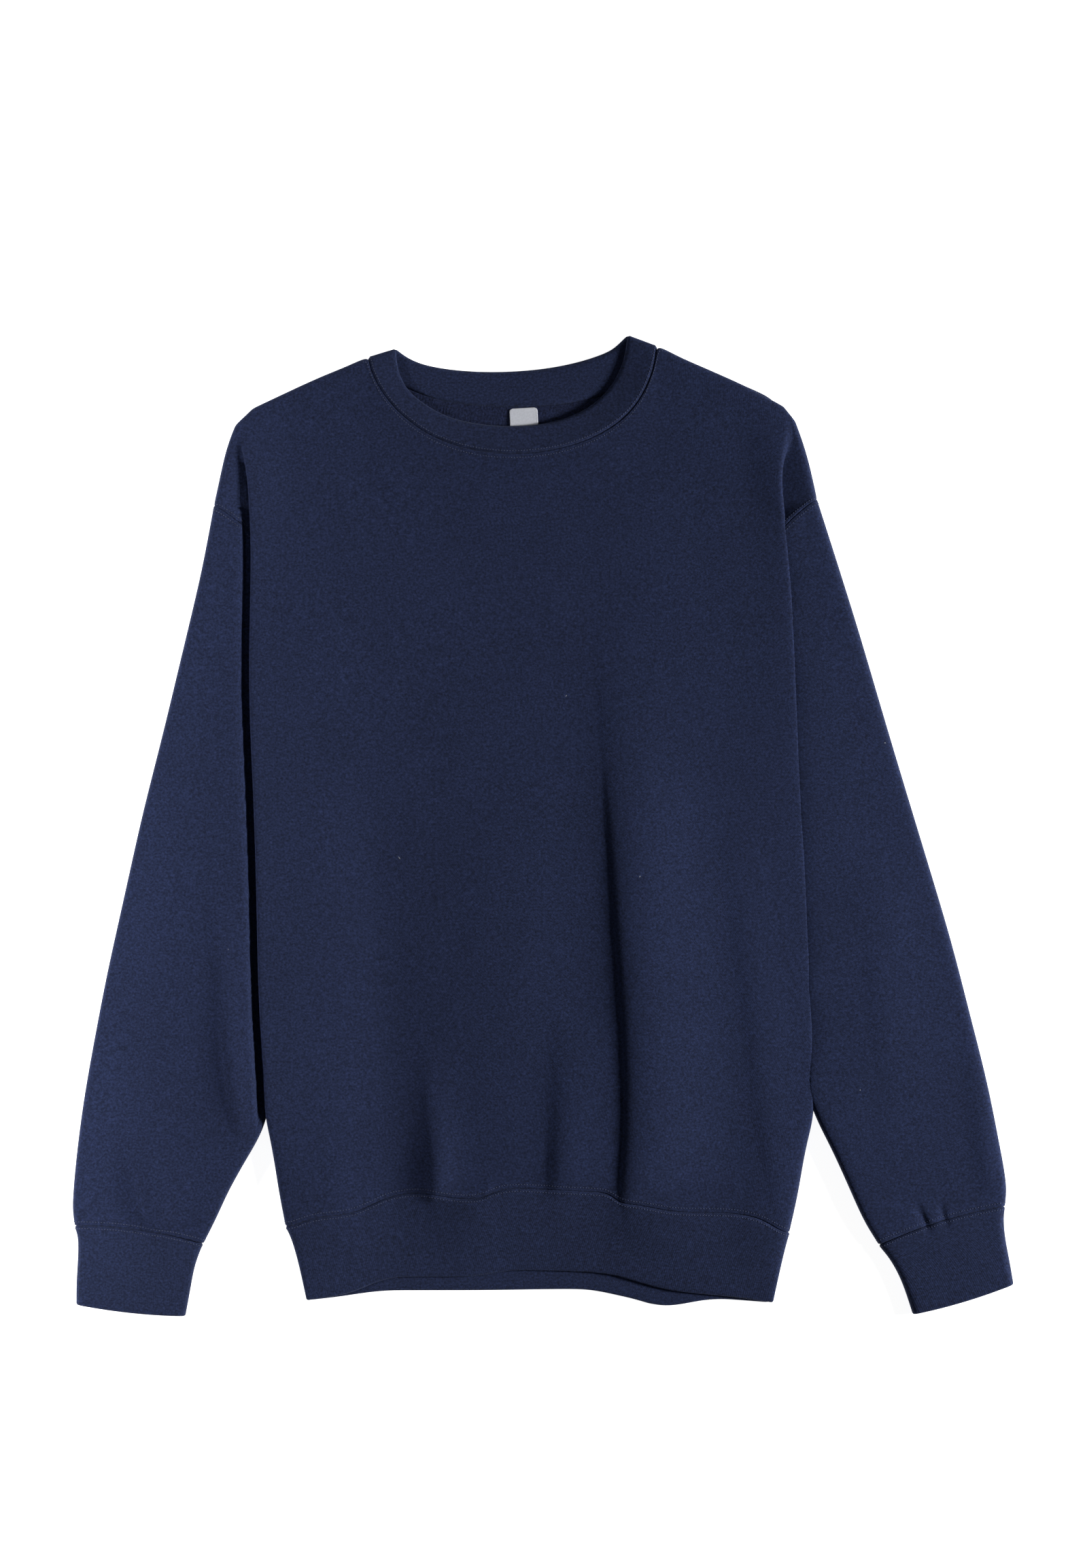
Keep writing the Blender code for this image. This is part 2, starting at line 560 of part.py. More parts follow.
def front_line(at, stations):
    """A line down the front at a fractional column: a point for every row."""
    x, y, z = front_top(at, stations)
    hem_x = field_at(FRONT_COLUMNS, "hem", at)
    ys = down(y, smooth(HEM_SEAM, hem_x) + SEAM / 2)
    spread = corner_spread(round(2 * (at - RIGHT_NECK_COLUMN)))
    xs = [(y, x), (y - ROUND, x + spread), (ys[-1], hem_x)]
    zs = [(y - ROUND, max(z, SHOULDER)), (ys[-1], field_at(FRONT_COLUMNS, "z_hem", at))]
    for level, field in ((CHEST_Y, "chest"), (WAIST_Y, "waist")):
        xs.append((level, field_at(FRONT_COLUMNS, field, at)))
        zs.append((level, field_at(FRONT_COLUMNS, "z_" + field, at)))
    points = [(smooth(xs, row_y), row_y, smooth(zs, row_y)) for row_y in ys]
    for j, step in enumerate(EDGE_STEPS):
        points[j] = (points[j][0], points[j][1], lerp(z, points[j][2], rounding(step)))
    return points


def front_rows():
    """Rows of the front from the neck down, each from the wearer's right side to the left."""
    stations = neck_ring()
    lines = [front_line(i / 2, stations) for i in range(2 * len(FRONT_COLUMNS) - 1)]
    rows = []
    for j, (right, left) in enumerate(zip(side_rows(RIGHT_SIDE), side_rows(LEFT_SIDE))):
        across = [line[j] for line in lines]
        beside_right = blend(right[-1:], across[:1], 0.5)
        beside_left = blend(across[-1:], left[-1:], 0.5)
        rows.append(right + beside_right + across + beside_left + left[::-1])
    return rows


# ---- Back


def back_side(side):
    """For every row of the back, its end and the two points that round its edge."""
    ends = row_ends(side)
    start = ends[FIRST_ARMHOLE_ROW]
    rows = []
    for j, end in enumerate(ends):
        if j < FIRST_ARMHOLE_ROW:
            turn = 0.0
        elif j < FIRST_SIDE_SEAM_ROW:
            turn = rounding(math.dist(end, start) / ROUND)
        else:
            turn = 1.0
            end = Place(end.out - SEAM - (ARMPIT_GAP if j == FIRST_SIDE_SEAM_ROW else 0.1), end.y)
        edge = lerp(BACK_EDGE, RESTING, turn)
        rows.append(
            [
                (side.sign * (end.out - ROUND * step), end.y, lerp(edge, RESTING, rounding(step)))
                for step in EDGE_STEPS
            ]
        )
    return rows


def back_rows():
    """Rows of the back, flat but for the edges that turn up to the shoulder seams."""
    stations = neck_ring()
    first = 2 * (len(NECK_FRONT) - 1)
    count = len(stations)
    neck = [panel_edge(stations, i) for i in range(count, first - 1, -1)]
    tops = [(x, y, BACK_EDGE) for x, y, _ in map(shoulder_top, BACK_SHOULDER_RIGHT)]
    tops += [(x, y, min(z, BACK_EDGE) - (RIB - FLEECE) / 2) for x, y, z in neck]
    tops += [(x, y, BACK_EDGE) for x, y, _ in map(shoulder_top, BACK_SHOULDER_LEFT)]
    right = back_side(RIGHT_SIDE)
    left = back_side(LEFT_SIDE)
    span = (right[0][0][0], left[0][0][0])
    lines = []
    for x, y, z in tops:
        share = (x - span[0]) / (span[1] - span[0])
        hem_x = lerp(right[-1][0][0], left[-1][0][0], share)
        ys = down(y, smooth(HEM_SEAM_BACK, hem_x) + SEAM / 2)
        line = []
        for j, row_y in enumerate(ys):
            spread = lerp(right[j][0][0], left[j][0][0], share)
            line_x = lerp(x, spread, ease((y - row_y - 30.0) / 100.0))
            turn = rounding(EDGE_STEPS[j]) if j < len(EDGE_STEPS) else 1.0
            line.append((line_x, row_y, lerp(z, RESTING, turn)))
        lines.append(line)
    rows = []
    for j, (right_end, left_end) in enumerate(zip(right, left)):
        if j < len(EDGE_STEPS):
            turn = rounding(EDGE_STEPS[j])
            right_end = [(x, y, lerp(BACK_EDGE, z, turn)) for x, y, z in right_end]
            left_end = [(x, y, lerp(BACK_EDGE, z, turn)) for x, y, z in left_end]
        rows.append(right_end + [line[j] for line in lines] + left_end[::-1])
    return rows


# ---- Sleeves, cuffs and hem band


def sleeve_rings(side):
    """Rings of a sleeve from its armhole to the seam with its cuff."""
    stations = halved(side.sleeve)
    rings = []
    for i, station in enumerate(stations):
        share = i / (len(stations) - 1)
        bend = max(0.0, 1.0 - share / 0.6) ** 2
        controls = seam_cubic(side, station, bend=bend, bow=CUFF_SEAM_BOW * ease((share - 0.8) / 0.2))

        def height_at(place, full=station.height):
            return sleeve_height(side, place, full)

        rings.append(tube_ring(controls, height_at, RESTING))
    return [[(side.sign * out, y, z) for out, y, z in ring] for ring in rings]


def cuff_rings(side):
    """Rings of a cuff: its first two carry on from the end of the sleeve."""
    last, before = side.sleeve[-1], side.sleeve[-2]
    rings = []
    for step in (SEAM, 2.4):
        share = step / math.dist((last.outer_out, last.outer_y), (before.outer_out, before.outer_y))
        values = [lerp(b, a, 1.0 + share) for a, b in zip(last, before)]
        station = Station(*values)._replace(height=CUFF_HEIGHT)
        controls = seam_cubic(side, station, wall=RIB, bow=CUFF_SEAM_BOW)
        rings.append(tube_ring(controls, lambda place: CUFF_HEIGHT, RIB / 2))
    for i, station in enumerate(side.cuff):
        bow = lerp(CUFF_SEAM_BOW, CUFF_EDGE_BOW, (i + 1) / len(side.cuff))
        controls = seam_cubic(side, station, wall=RIB, bow=bow)
        rings.append(tube_ring(controls, lambda place: CUFF_HEIGHT, RIB / 2))
    return [[(side.sign * out, y, z) for out, y, z in ring] for ring in rings]


def hem_rings(front, back):
    """Rings of the hem band, down from the last row of the front and of the back."""
    front_seam = front[-1]
    back_seam = back[-1][::-1][1:-1]
    rings = []
    for down_share, right, left in HEM_SIDES:
        ring = []
        for i, (x, y, z) in enumerate(front_seam + back_seam):
            on_front = i < len(front_seam) and z > RESTING + 0.01
            edge = HEM_SIDES[-1]
            ratio = right / HEM_SIDES[0][1] if x < 0.0 else left / HEM_SIDES[0][2]
            end_ratio = edge[1] / HEM_SIDES[0][1] if x < 0.0 else edge[2] / HEM_SIDES[0][2]
            bottom = smooth(HEM_EDGE_FRONT if on_front else HEM_EDGE_BACK, x * end_ratio)
            height = max(z, RIB / 2) + (HEM_LIFT * down_share if on_front else 0.0)
            ring.append((x * ratio, lerp(y - CURVED_SEAM, bottom, down_share), height))
        rings.append(ring)
    return rings


def label_rows():
    """Rows of the neck label, from its sewn edge to its loose one, lying on the back."""
    rows = []
    for j in range(4):
        along = LABEL_LENGTH * j / 3
        row = []
        for i in range(4):
            across = LABEL_WIDTH * (i / 3 - 0.5)
            x = LABEL_PLACE[0] + across * math.cos(LABEL_TILT) + along * math.sin(LABEL_TILT)
            y = LABEL_PLACE[1] + across * math.sin(LABEL_TILT) - along * math.cos(LABEL_TILT)
            row.append((x, y, FLEECE + SEAM + LABEL / 2 + LABEL_CURL * ease(j / 3)))
        rows.append(row)
    return rows


# ---- Objects


def plain_material(name, look):
    colour, roughness = look
    material = bpy.data.materials.new(name)
    material.use_nodes = True
    material.diffuse_color = colour
    shader = material.node_tree.nodes["Principled BSDF"]
    shader.inputs["Base Color"].default_value = colour
    shader.inputs["Roughness"].default_value = roughness
    shader.inputs["Metallic"].default_value = 0.0
    return material


def sheet_object(name, rows, wall, look, garment, closed=False):
    """A sheet through rows of points, with a wall; closed joins each row's last point to its first."""
    width = len(rows[0])
    faces = []
    for j in range(len(rows) - 1):
        for i in range(width if closed else width - 1):
            after = (i + 1) % width
            faces.append((j * width + i, (j + 1) * width + i, (j + 1) * width + after, j * width + after))
    mesh = bpy.data.meshes.new(name)
    mesh.from_pydata([tuple(c * MM for c in point) for row in rows for point in row], [], faces)
    mesh.shade_smooth()
    mesh.materials.append(plain_material(name, look))
    obj = bpy.data.objects.new(name, mesh)
    obj.parent = garment
    garment.users_collection[0].objects.link(obj)
    shell = obj.modifiers.new("wall", "SOLIDIFY")
    shell.thickness = wall * MM
    shell.offset = 0.0
    shell.use_quality_normals = True


def main():
    for obj in list(bpy.data.objects):
        bpy.data.objects.remove(obj, do_unlink=True)
    collection = bpy.data.collections.new("crewneck_sweatshirt")
    bpy.context.scene.collection.children.link(collection)
    garment = bpy.data.objects.new("garment_middle", None)
    collection.objects.link(garment)

    front = front_rows()
    back = back_rows()
    neck = neck_ring()
    sheet_object("front_panel", front, FLEECE, NAVY_FLEECE, garment)
    sheet_object("back_panel", back, FLEECE, NAVY_FLEECE, garment)
    sheet_object("hem_band", hem_rings(front, back), RIB, NAVY_RIB, garment, closed=True)
    for name, side in (("right", RIGHT_SIDE), ("left", LEFT_SIDE)):
        sheet_object(name + "_sleeve", sleeve_rings(side), FLEECE, NAVY_FLEECE, garment, closed=True)
        sheet_object(name + "_cuff", cuff_rings(side), RIB, NAVY_RIB, garment, closed=True)
    seam = [station[:3] for station in neck]
    edge = [station[3:] for station in neck]
    rib = [blend(seam, edge, share) for share in (0.0, 0.5, 1.0)]
    sheet_object("neck_rib", rib, RIB, NAVY_RIB, garment, closed=True)
    sheet_object("neck_label", label_rows(), LABEL, WOVEN_WHITE, garment)


main()
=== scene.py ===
"""Visual model of a crewneck sweatshirt that lies flat on its back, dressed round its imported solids.

Lengths are in millimetres until a mesh is made, which takes them to metres. The sides are the wearer's:
the right sleeve lies at -X and the left sleeve at +X. On one side, places are given as "out", the
distance from the middle line outwards, so that one set of methods makes both. Every piece of cloth is
a grid of points on the middle of its wall, which is refined, creased, and closed into a thin shell.
"""

import sys
import logging
import math
from abc import ABC, abstractmethod
from collections.abc import Callable, Sequence
from dataclasses import dataclass, field, replace
from enum import Enum
from functools import partial
from typing import ClassVar, NamedTuple

import bpy
import numpy as np
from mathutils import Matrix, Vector


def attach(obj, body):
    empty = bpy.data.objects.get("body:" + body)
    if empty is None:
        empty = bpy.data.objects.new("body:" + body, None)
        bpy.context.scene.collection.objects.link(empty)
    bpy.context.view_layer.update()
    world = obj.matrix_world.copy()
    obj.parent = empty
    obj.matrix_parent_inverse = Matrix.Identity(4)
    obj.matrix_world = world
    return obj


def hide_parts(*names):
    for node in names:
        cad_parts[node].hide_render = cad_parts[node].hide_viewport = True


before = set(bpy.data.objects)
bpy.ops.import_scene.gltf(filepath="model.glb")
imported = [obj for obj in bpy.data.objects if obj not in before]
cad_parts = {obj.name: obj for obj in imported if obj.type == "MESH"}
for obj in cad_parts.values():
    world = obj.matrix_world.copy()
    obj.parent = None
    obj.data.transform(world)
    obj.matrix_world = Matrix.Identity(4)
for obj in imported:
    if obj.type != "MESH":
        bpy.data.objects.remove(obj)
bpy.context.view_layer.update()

LOG = logging.getLogger("sweatshirt")

MM = 0.001
BODY = "root"
UV_NAME = "cloth"

# Cloth
FLEECE = 2.0  # wall of the brushed fleece panels and sleeves
RIB = 3.0  # wall of the folded rib bands
LABEL = 0.8  # wall of the woven neck label
SEAM = 0.04  # gap between two pieces at a seam
CURVED_SEAM = 0.06  # the same where a seam is curved
BACK_SEAM = -0.05  # the same on the back, which touches so that no floor shows between
CORNER_SEAMS = (0.3, 0.25, 0.2, 0.1)  # the same from where the neck rib turns to the back
RIB_STITCHES = 2.0  # from a seam to the row of stitches on its ribbed side
FLEECE_STITCHES = 3.0  # from a seam to the row on a side of fleece

# Heights of the middle of a fleece wall above the surface it lies on
RESTING = FLEECE / 2
FRONT_EDGE = 4.12  # edge of the front at the shoulder seam, half-way up the closed edge
BACK_EDGE = 3.88
SHOULDER = 7.2  # upper layer just inside a closed edge
PRESSED = 4.4  # upper layer of a sleeve where the body lies on it
TURN = 1.75  # radius of the folds where the body turns back on itself
RETURN = PRESSED + 2 * TURN  # layer of the body that lies over the sleeve
FOLD_TOP = RETURN + 2 * TURN  # front just inside its folded side
HEM_SIDE_HEIGHT = 9.0  # front just inside its rolled side at the hem
CUFF_HEIGHT = 9.2  # middle of the upper wall of a cuff

ROUND = 3.2  # how far in from an outline its rounding reaches
ROUND_STEPS = (0.0, 0.29, 1.0)  # shares of that reach at the points round the edge of a tube
EDGE_STEPS = (0.0, 0.03, 0.35, 1.0)  # the same for the edge of a panel, which starts upright
RIM_STEPS = (0.15, 0.5, 1.0)  # shares of half a wall at the lines that round the rim of a sheet
RIM_SHARE = 0.12  # wall that is left at the rim itself
RIM_ROOM = 1.6  # halves of a wall that the next line has to be off, for the rim to get its lines
TURN_POINTS = 5  # points round a fold
SIDE_POINTS = 12  # points of a row of the front, from its end round its folded side to its top
FOLD_DEPTH = 8.0  # least depth of the layer that is folded in under the side of the body
FOLD_PAST_END = 14.0  # how far that layer reaches in past the end of its row, at least
SHOULDER_TURNS = 16.0  # how far down the points of a row spread from the shoulder to the folded side
SHOULDER_RISES = 45.0  # how far down the shoulder has risen to the height of the body
SHOULDER_DROP = 0.8  # how much lower it stays than the top of the fold
FOLD_FORMS = (300.0, 36.0)  # height below which the fold forms, and over how much
HEM_ROLLS = (-200.0, 90.0)  # height below which the side drops to its height at the hem, and over how much
SLEEVE_RISES = (16.0, 8.0)  # how far inside the fold a sleeve starts to rise, and over how much
PRESS_FADES = 14.0  # how far above that the pressing stops
LEAVES_OVER = 26.0  # how far below the height where the sleeve leaves the body it is free
FREED_OVER = 38.0  # the same for the side of the body
CORNER_SHARES = (0.3, 0.75)  # where the station beside a neck corner is, and where it has its height from
NECK_SPREADS = (1.6, 0.8)  # how much further out the first lines inside a neck corner run just below it
BACK_SPREADS = (30.0, 100.0)  # how far below its top a line of the back starts to spread, and over how much
SIDE_SEAM_GAP = 0.1  # between the back and the front along the side seam
BEND_ENDS = 0.6  # share of a sleeve where its lines no longer bend as the armhole does
BOW_STARTS = (0.8, 0.2)  # share of a sleeve where its lines start to bow as its end does, and over how much
AHEAD = 0.01  # share of a seam to the place that tells its direction
OFF_FLOOR = 0.01  # how much higher than resting a point is, to count as raised
FOLD_STEPS = 12  # steps between two points of a fold's line
FOLD_REACH = 3.0  # widths that a fold reaches to
WAVE_COUNT = 40  # waves that make up an unevenness
LEVELS = 120  # heights at which the folded side is worked out
SIDE_WRAP = 12.0  # how far the front turns under the body below the sleeves
SIDE_SEAM_INSET = 11.0  # side seam inside the inner edge of the sleeve
ARMPIT_GAP = 3.0  # how much further the back stays from the front at the armpit
PRESS_STARTS = 270.0  # height on the body above which cloth isn't pressed down beside its folded side
GAP_NARROWS = 228.0  # height above which the gap narrows
SLEEVE_LEAVES = -206.0  # height on the body below which the sleeve starts to lie beside it
SLEEVE_DOME = 3.2  # how much higher it lies beside the body than at its outer edge
SLEEVE_WIDTH = 130.0
CHEST_Y = 100.0
WAIST_Y = -100.0

# Points of the front where it steps up over the inner edge of a sleeve: how far out from that edge, how
# far inside the wall of the fold at least, and the height
STEPS_OVER_SLEEVE = ((-4.6, 3.4, RESTING + 0.9), (-2.7, 1.8, 3.5), (-1.2, 0.9, 6.8), (3.0, 0.3, RETURN))
STEPS_UNDER_BODY = (0.0, 2.0, 4.0)  # how far out from its end the first points of such a row lie

# Shading
WHITE = (1.0, 1.0, 1.0, 1.0)
LINT_COLOUR = (0.2, 0.22, 0.26, 1.0)
SHEEN_TINT = (0.45, 0.55, 0.85, 1.0)
UNIT = (0.0, 1.0)
NOISE_SPAN = (0.3, 0.7)  # where nearly all values of a noise are
LOOP_LEAN = 0.45  # courses that a loop is taller in the middle of its wale
LOOP_HEIGHT = 0.25  # height of a loop beside that of a wale
CLOUD_SCALE = 16.0  # clouds of wear to a metre
FUZZ_SCALE = 650.0
KNIT_OUTPUTS = ("Fleck", "Cloud", "Loops", "Fuzz")

Range = tuple[float, float]
Pairs = Sequence[tuple[float, float]]
Section = list[tuple[float, float]]  # how far out and how high each point of a side is
Point = tuple[float, float, float]
Rows = list[list[Point]]
Socket = bpy.types.NodeSocket
Colour = tuple[float, float, float]


class Place(NamedTuple):
    """A place on one side of the garment."""

    out: float
    y: float


class Column(NamedTuple):
    """A line down the front: its x at the top, chest, waist and hem, and the height of the cloth there.

    The top of most lines is on the neck seam, and isn't stated.
    """

    top: float | None
    chest: float
    waist: float
    hem: float
    z_chest: float
    z_waist: float
    z_hem: float


class NeckStation(NamedTuple):
    """One place round the neck rib: its seam and its folded edge."""

    seam_x: float
    seam_y: float
    seam_z: float
    edge_x: float
    edge_y: float
    edge_z: float


class Station(NamedTuple):
    """One place down a sleeve or cuff: its outer and inner edge and how high it lies."""

    outer_out: float
    outer_y: float
    inner_out: float
    inner_y: float
    height: float


class CreasePoint(NamedTuple):
    """One place down a crease: how deep it is there, and its width on the -X side and the +X side."""

    x: float
    y: float
    depth: float
    width_right: float
    width_left: float


class TuckPoint(NamedTuple):
    """One place down a tuck: how far the cloth on its +X side rises, over what run, and where it ends."""

    x: float
    y: float
    rise: float
    run: float
    fade: float


class Gap(NamedTuple):
    """How far beside the folded side a sleeve starts and ends its rise, and how much nearer at the top."""

    near: float
    far: float
    narrowing: float


class Edge(Enum):
    """The four edges of a grid of cloth."""

    TOP = 1
    BOTTOM = 2
    FIRST = 3
    LAST = 4


class Face(Enum):
    """The two faces of a sheet of cloth."""

    OUTSIDE = 1
    INSIDE = -1


class Held(Enum):
    """How a piece of cloth is held."""

    LAID = "laid"
    FOLDED = "folded"
    GATHERED = "gathered"


class Slot(Enum):
    """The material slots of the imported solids."""

    FLEECE = "fleece"
    RIB = "rib"
    LABEL = "woven_label"


# ---- Numbers


def table(kind: Callable[..., NamedTuple], *rows: Sequence[float]) -> tuple:
    """Rows of numbers as named ones."""
    return tuple(kind(*row) for row in rows)


def lerp(a: float, b: float, share: float) -> float:
    """Value at a share of the way from a to b."""
    return a + (b - a) * share


def ease(share: float) -> float:
    """0 to 1 with flat ends."""
    share = min(max(share, 0.0), 1.0)
    return share * share * (3.0 - 2.0 * share)


def eased(share: np.ndarray) -> np.ndarray:
    """The same for an array."""
    share = np.clip(share, 0.0, 1.0)
    return share * share * (3.0 - 2.0 * share)


def about(middle: float, reach: float) -> Range:
    """The range that reaches as far to both sides of a middle."""
    return middle - reach, middle + reach


def rounding(reach: float) -> float:
    """Height of a quarter circle at a share of its reach, from 0 at its tip to 1."""
    return math.sqrt(max(0.0, 1.0 - (1.0 - min(reach, 1.0)) ** 2))


def smooth(pairs: Pairs, at: float) -> float:
    """Value of a cubic through a table, which never overshoots its rows.

    Args:
        pairs: Rows of a place and the value there.
        at: The place to read.

    Returns:
        The value at that place.
    """
    rows = sorted(pairs)
    if at <= rows[0][0]:
        return rows[0][1]
    if at >= rows[-1][0]:
        return rows[-1][1]
    steps = [after[0] - before[0] for before, after in zip(rows, rows[1:])]
    slopes = [(after[1] - before[1]) / step for before, after, step in zip(rows, rows[1:], steps)]
    bends = [slopes[0]]
    for before, after in zip(slopes, slopes[1:]):
        bends.append(2.0 * before * after / (before + after) if before * after > 0.0 else 0.0)
    bends.append(slopes[-1])
    i = next(k for k in range(len(steps)) if at <= rows[k + 1][0])
    t = (at - rows[i][0]) / steps[i]
    start = (1.0 + 2.0 * t) * (1.0 - t) ** 2 * rows[i][1] + t * (1.0 - t) ** 2 * steps[i] * bends[i]
    end = t * t * (3.0 - 2.0 * t) * rows[i + 1][1] + t * t * (t - 1.0) * steps[i] * bends[i + 1]
    return start + end


def field_at(rows: Sequence[NamedTuple], name: str, at: float) -> float:
    """A field of a table at a fractional row number."""
    return smooth([(i, getattr(row, name)) for i, row in enumerate(rows)], at)


def halved(rows: Sequence[Station]) -> list[Station]:
    """The rows of a table with one more between each two, on the same smooth curve."""
    steps = [i / 2 for i in range(2 * len(rows) - 1)]
    return [type(rows[0])(*(field_at(rows, name, at) for name in rows[0]._fields)) for at in steps]


def blend(first: Sequence[tuple], second: Sequence[tuple], share: float) -> list[tuple]:
    """Points at a share of the way from one list to another."""
    return [tuple(lerp(a, b, share) for a, b in zip(p, q)) for p, q in zip(first, second)]


def spline(stack: np.ndarray, times: int, closed: bool = False) -> np.ndarray:
    """A uniform cubic B-spline through a stack of control lines.

    Args:
        stack: Control points, with the lines along the first axis.
        times: Steps between two lines.
        closed: Whether the last line joins the first. If not, the end lines stay.

    Returns:
        The finer stack.
    """
    if closed:
        padded = np.concatenate([stack[-1:], stack, stack[:2]])
        spans = len(stack)
    else:
        padded = np.concatenate([2 * stack[:1] - stack[1:2], stack, 2 * stack[-1:] - stack[-2:-1]])
        spans = len(stack) - 1
    steps = []
    for k in range(times):
        t = k / times
        weights = ((1 - t) ** 3, 3 * t**3 - 6 * t * t + 4, -3 * t**3 + 3 * t * t + 3 * t + 1, t**3)
        steps.append(sum(w / 6 * padded[i : i + spans] for i, w in enumerate(weights)))
    fine = np.stack(steps, axis=1).reshape(spans * times, *stack.shape[1:])
    return fine if closed else np.concatenate([fine, stack[-1:]])


def run_along(stack: np.ndarray) -> np.ndarray:
    """Length from the first line of a stack of points to each line."""
    steps = np.linalg.norm(np.diff(stack, axis=0), axis=-1)
    return np.concatenate([np.zeros_like(steps[:1]), np.cumsum(steps, axis=0)])


@dataclass(frozen=True)
class Waves:
    """Gentle waves in all directions on the upper layer of a piece.

    The lengths are those of the shortest and the longest wave, the height is the root mean square, and
    the layer starts at one height and is fully reached over another.
    """

    seed: int
    lengths: Range
    height: float
    starts: float
    over: float

    def lift(self, places: np.ndarray) -> np.ndarray:
        """How far each of some points is lifted.

        Args:
            places: Points, of which x and y count.

        Returns:
            A lift for each.
        """
        draw = np.random.default_rng(self.seed)
        lengths = np.geomspace(*self.lengths, WAVE_COUNT)
        total = np.zeros(places.shape[:-1])
        for length in lengths:
            angle, phase = draw.uniform(0.0, 2.0 * math.pi, 2)
            run = places[..., 0] * math.cos(angle) + places[..., 1] * math.sin(angle)
            total += length * np.sin(2.0 * math.pi * run / length + phase)
        return total * self.height / math.sqrt(float((lengths**2).sum()) / 2.0)


@dataclass(frozen=True)
class Fold(ABC):
    """A line on the cloth, from its upper end to its lower one, along which the cloth is lifted or dips."""

    point: ClassVar[type]
    points: tuple[CreasePoint | TuckPoint, ...]

    @classmethod
    def through(cls, *rows: Sequence[float], **more: float) -> "Fold":
        """A fold through rows that hold the fields of its points."""
        return cls(table(cls.point, *rows), **more)

    @abstractmethod
    def profile(self, aside: np.ndarray, away: np.ndarray, here: np.ndarray) -> np.ndarray:
        """Height of the cloth beside the line.

        Args:
            aside: Distance to the +X side of the line, below 0 on the other.
            away: Distance from the nearest place on the line.
            here: The fields of the line at that place.

        Returns:
            Heights.
        """

    @abstractmethod
    def width(self) -> float:
        """Its greatest width."""

    def lift(self, places: np.ndarray) -> np.ndarray:
        """How far each of some points is lifted.

        Args:
            places: Points, of which x and y count.

        Returns:
            A lift for each.
        """
        flat = places.reshape(-1, places.shape[-1])[:, :2]
        lifted = np.zeros(len(flat))
        line = spline(np.array(self.points, float), FOLD_STEPS)
        ways = np.gradient(line[:, :2], axis=0)
        ways /= np.linalg.norm(ways, axis=1, keepdims=True)
        reach = FOLD_REACH * self.width()
        low, high = line[:, :2].min(0) - reach, line[:, :2].max(0) + reach
        near = np.flatnonzero(((flat > low) & (flat < high)).all(1))
        offsets = flat[near, None] - line[None, :, :2]
        nearest = (offsets**2).sum(-1).argmin(1)
        off = offsets[np.arange(len(near)), nearest]
        way = ways[nearest]
        aside = way[:, 0] * off[:, 1] - way[:, 1] * off[:, 0]
        lifted[near] = self.profile(aside, np.linalg.norm(off, axis=1), line[nearest])
        return lifted.reshape(places.shape[:-1])


class Crease(Fold):
    """A rounded dip, or a ridge where its depth is below 0."""

    point = CreasePoint

    def profile(self, aside: np.ndarray, away: np.ndarray, here: np.ndarray) -> np.ndarray:
        """A bell on each side, as wide as that side is."""
        _, _, depth, right, left = here.T
        return -depth * np.exp(-((away / np.where(aside > 0.0, left, right)) ** 2))

    def width(self) -> float:
        """Its greatest width on either side."""
        return max(max(point.width_right, point.width_left) for point in self.points)


@dataclass(frozen=True)
class Tuck(Fold):
    """A sharp inner corner, which the cloth rises to and from which it goes on rising on the +X side."""

    point = TuckPoint
    lead: float = 0.6
    lead_run: float = 14.0

    def profile(self, aside: np.ndarray, away: np.ndarray, here: np.ndarray) -> np.ndarray:
        """A gentle rise on the -X side, then a steep one that eases off and falls away.

        Args:
            aside: Distance to the +X side of the line, below 0 on the other.
            away: Distance from the nearest place on the line.
            here: The fields of the line at that place.

        Returns:
            Heights.
        """
        _, _, rise, run, fade = here.T
        led = self.lead * rise * np.exp(-away / self.lead_run)
        risen = rise * (self.lead + 1.0 - np.exp(-np.maximum(aside, 0.0) / run))
        return np.where(aside > 0.0, risen * np.exp(-((away / fade) ** 2)), led)

    def width(self) -> float:
        """Its lead's run or its greatest fade."""
        return max(self.lead_run, max(point.fade for point in self.points))


# ---- A sheet of cloth on a grid


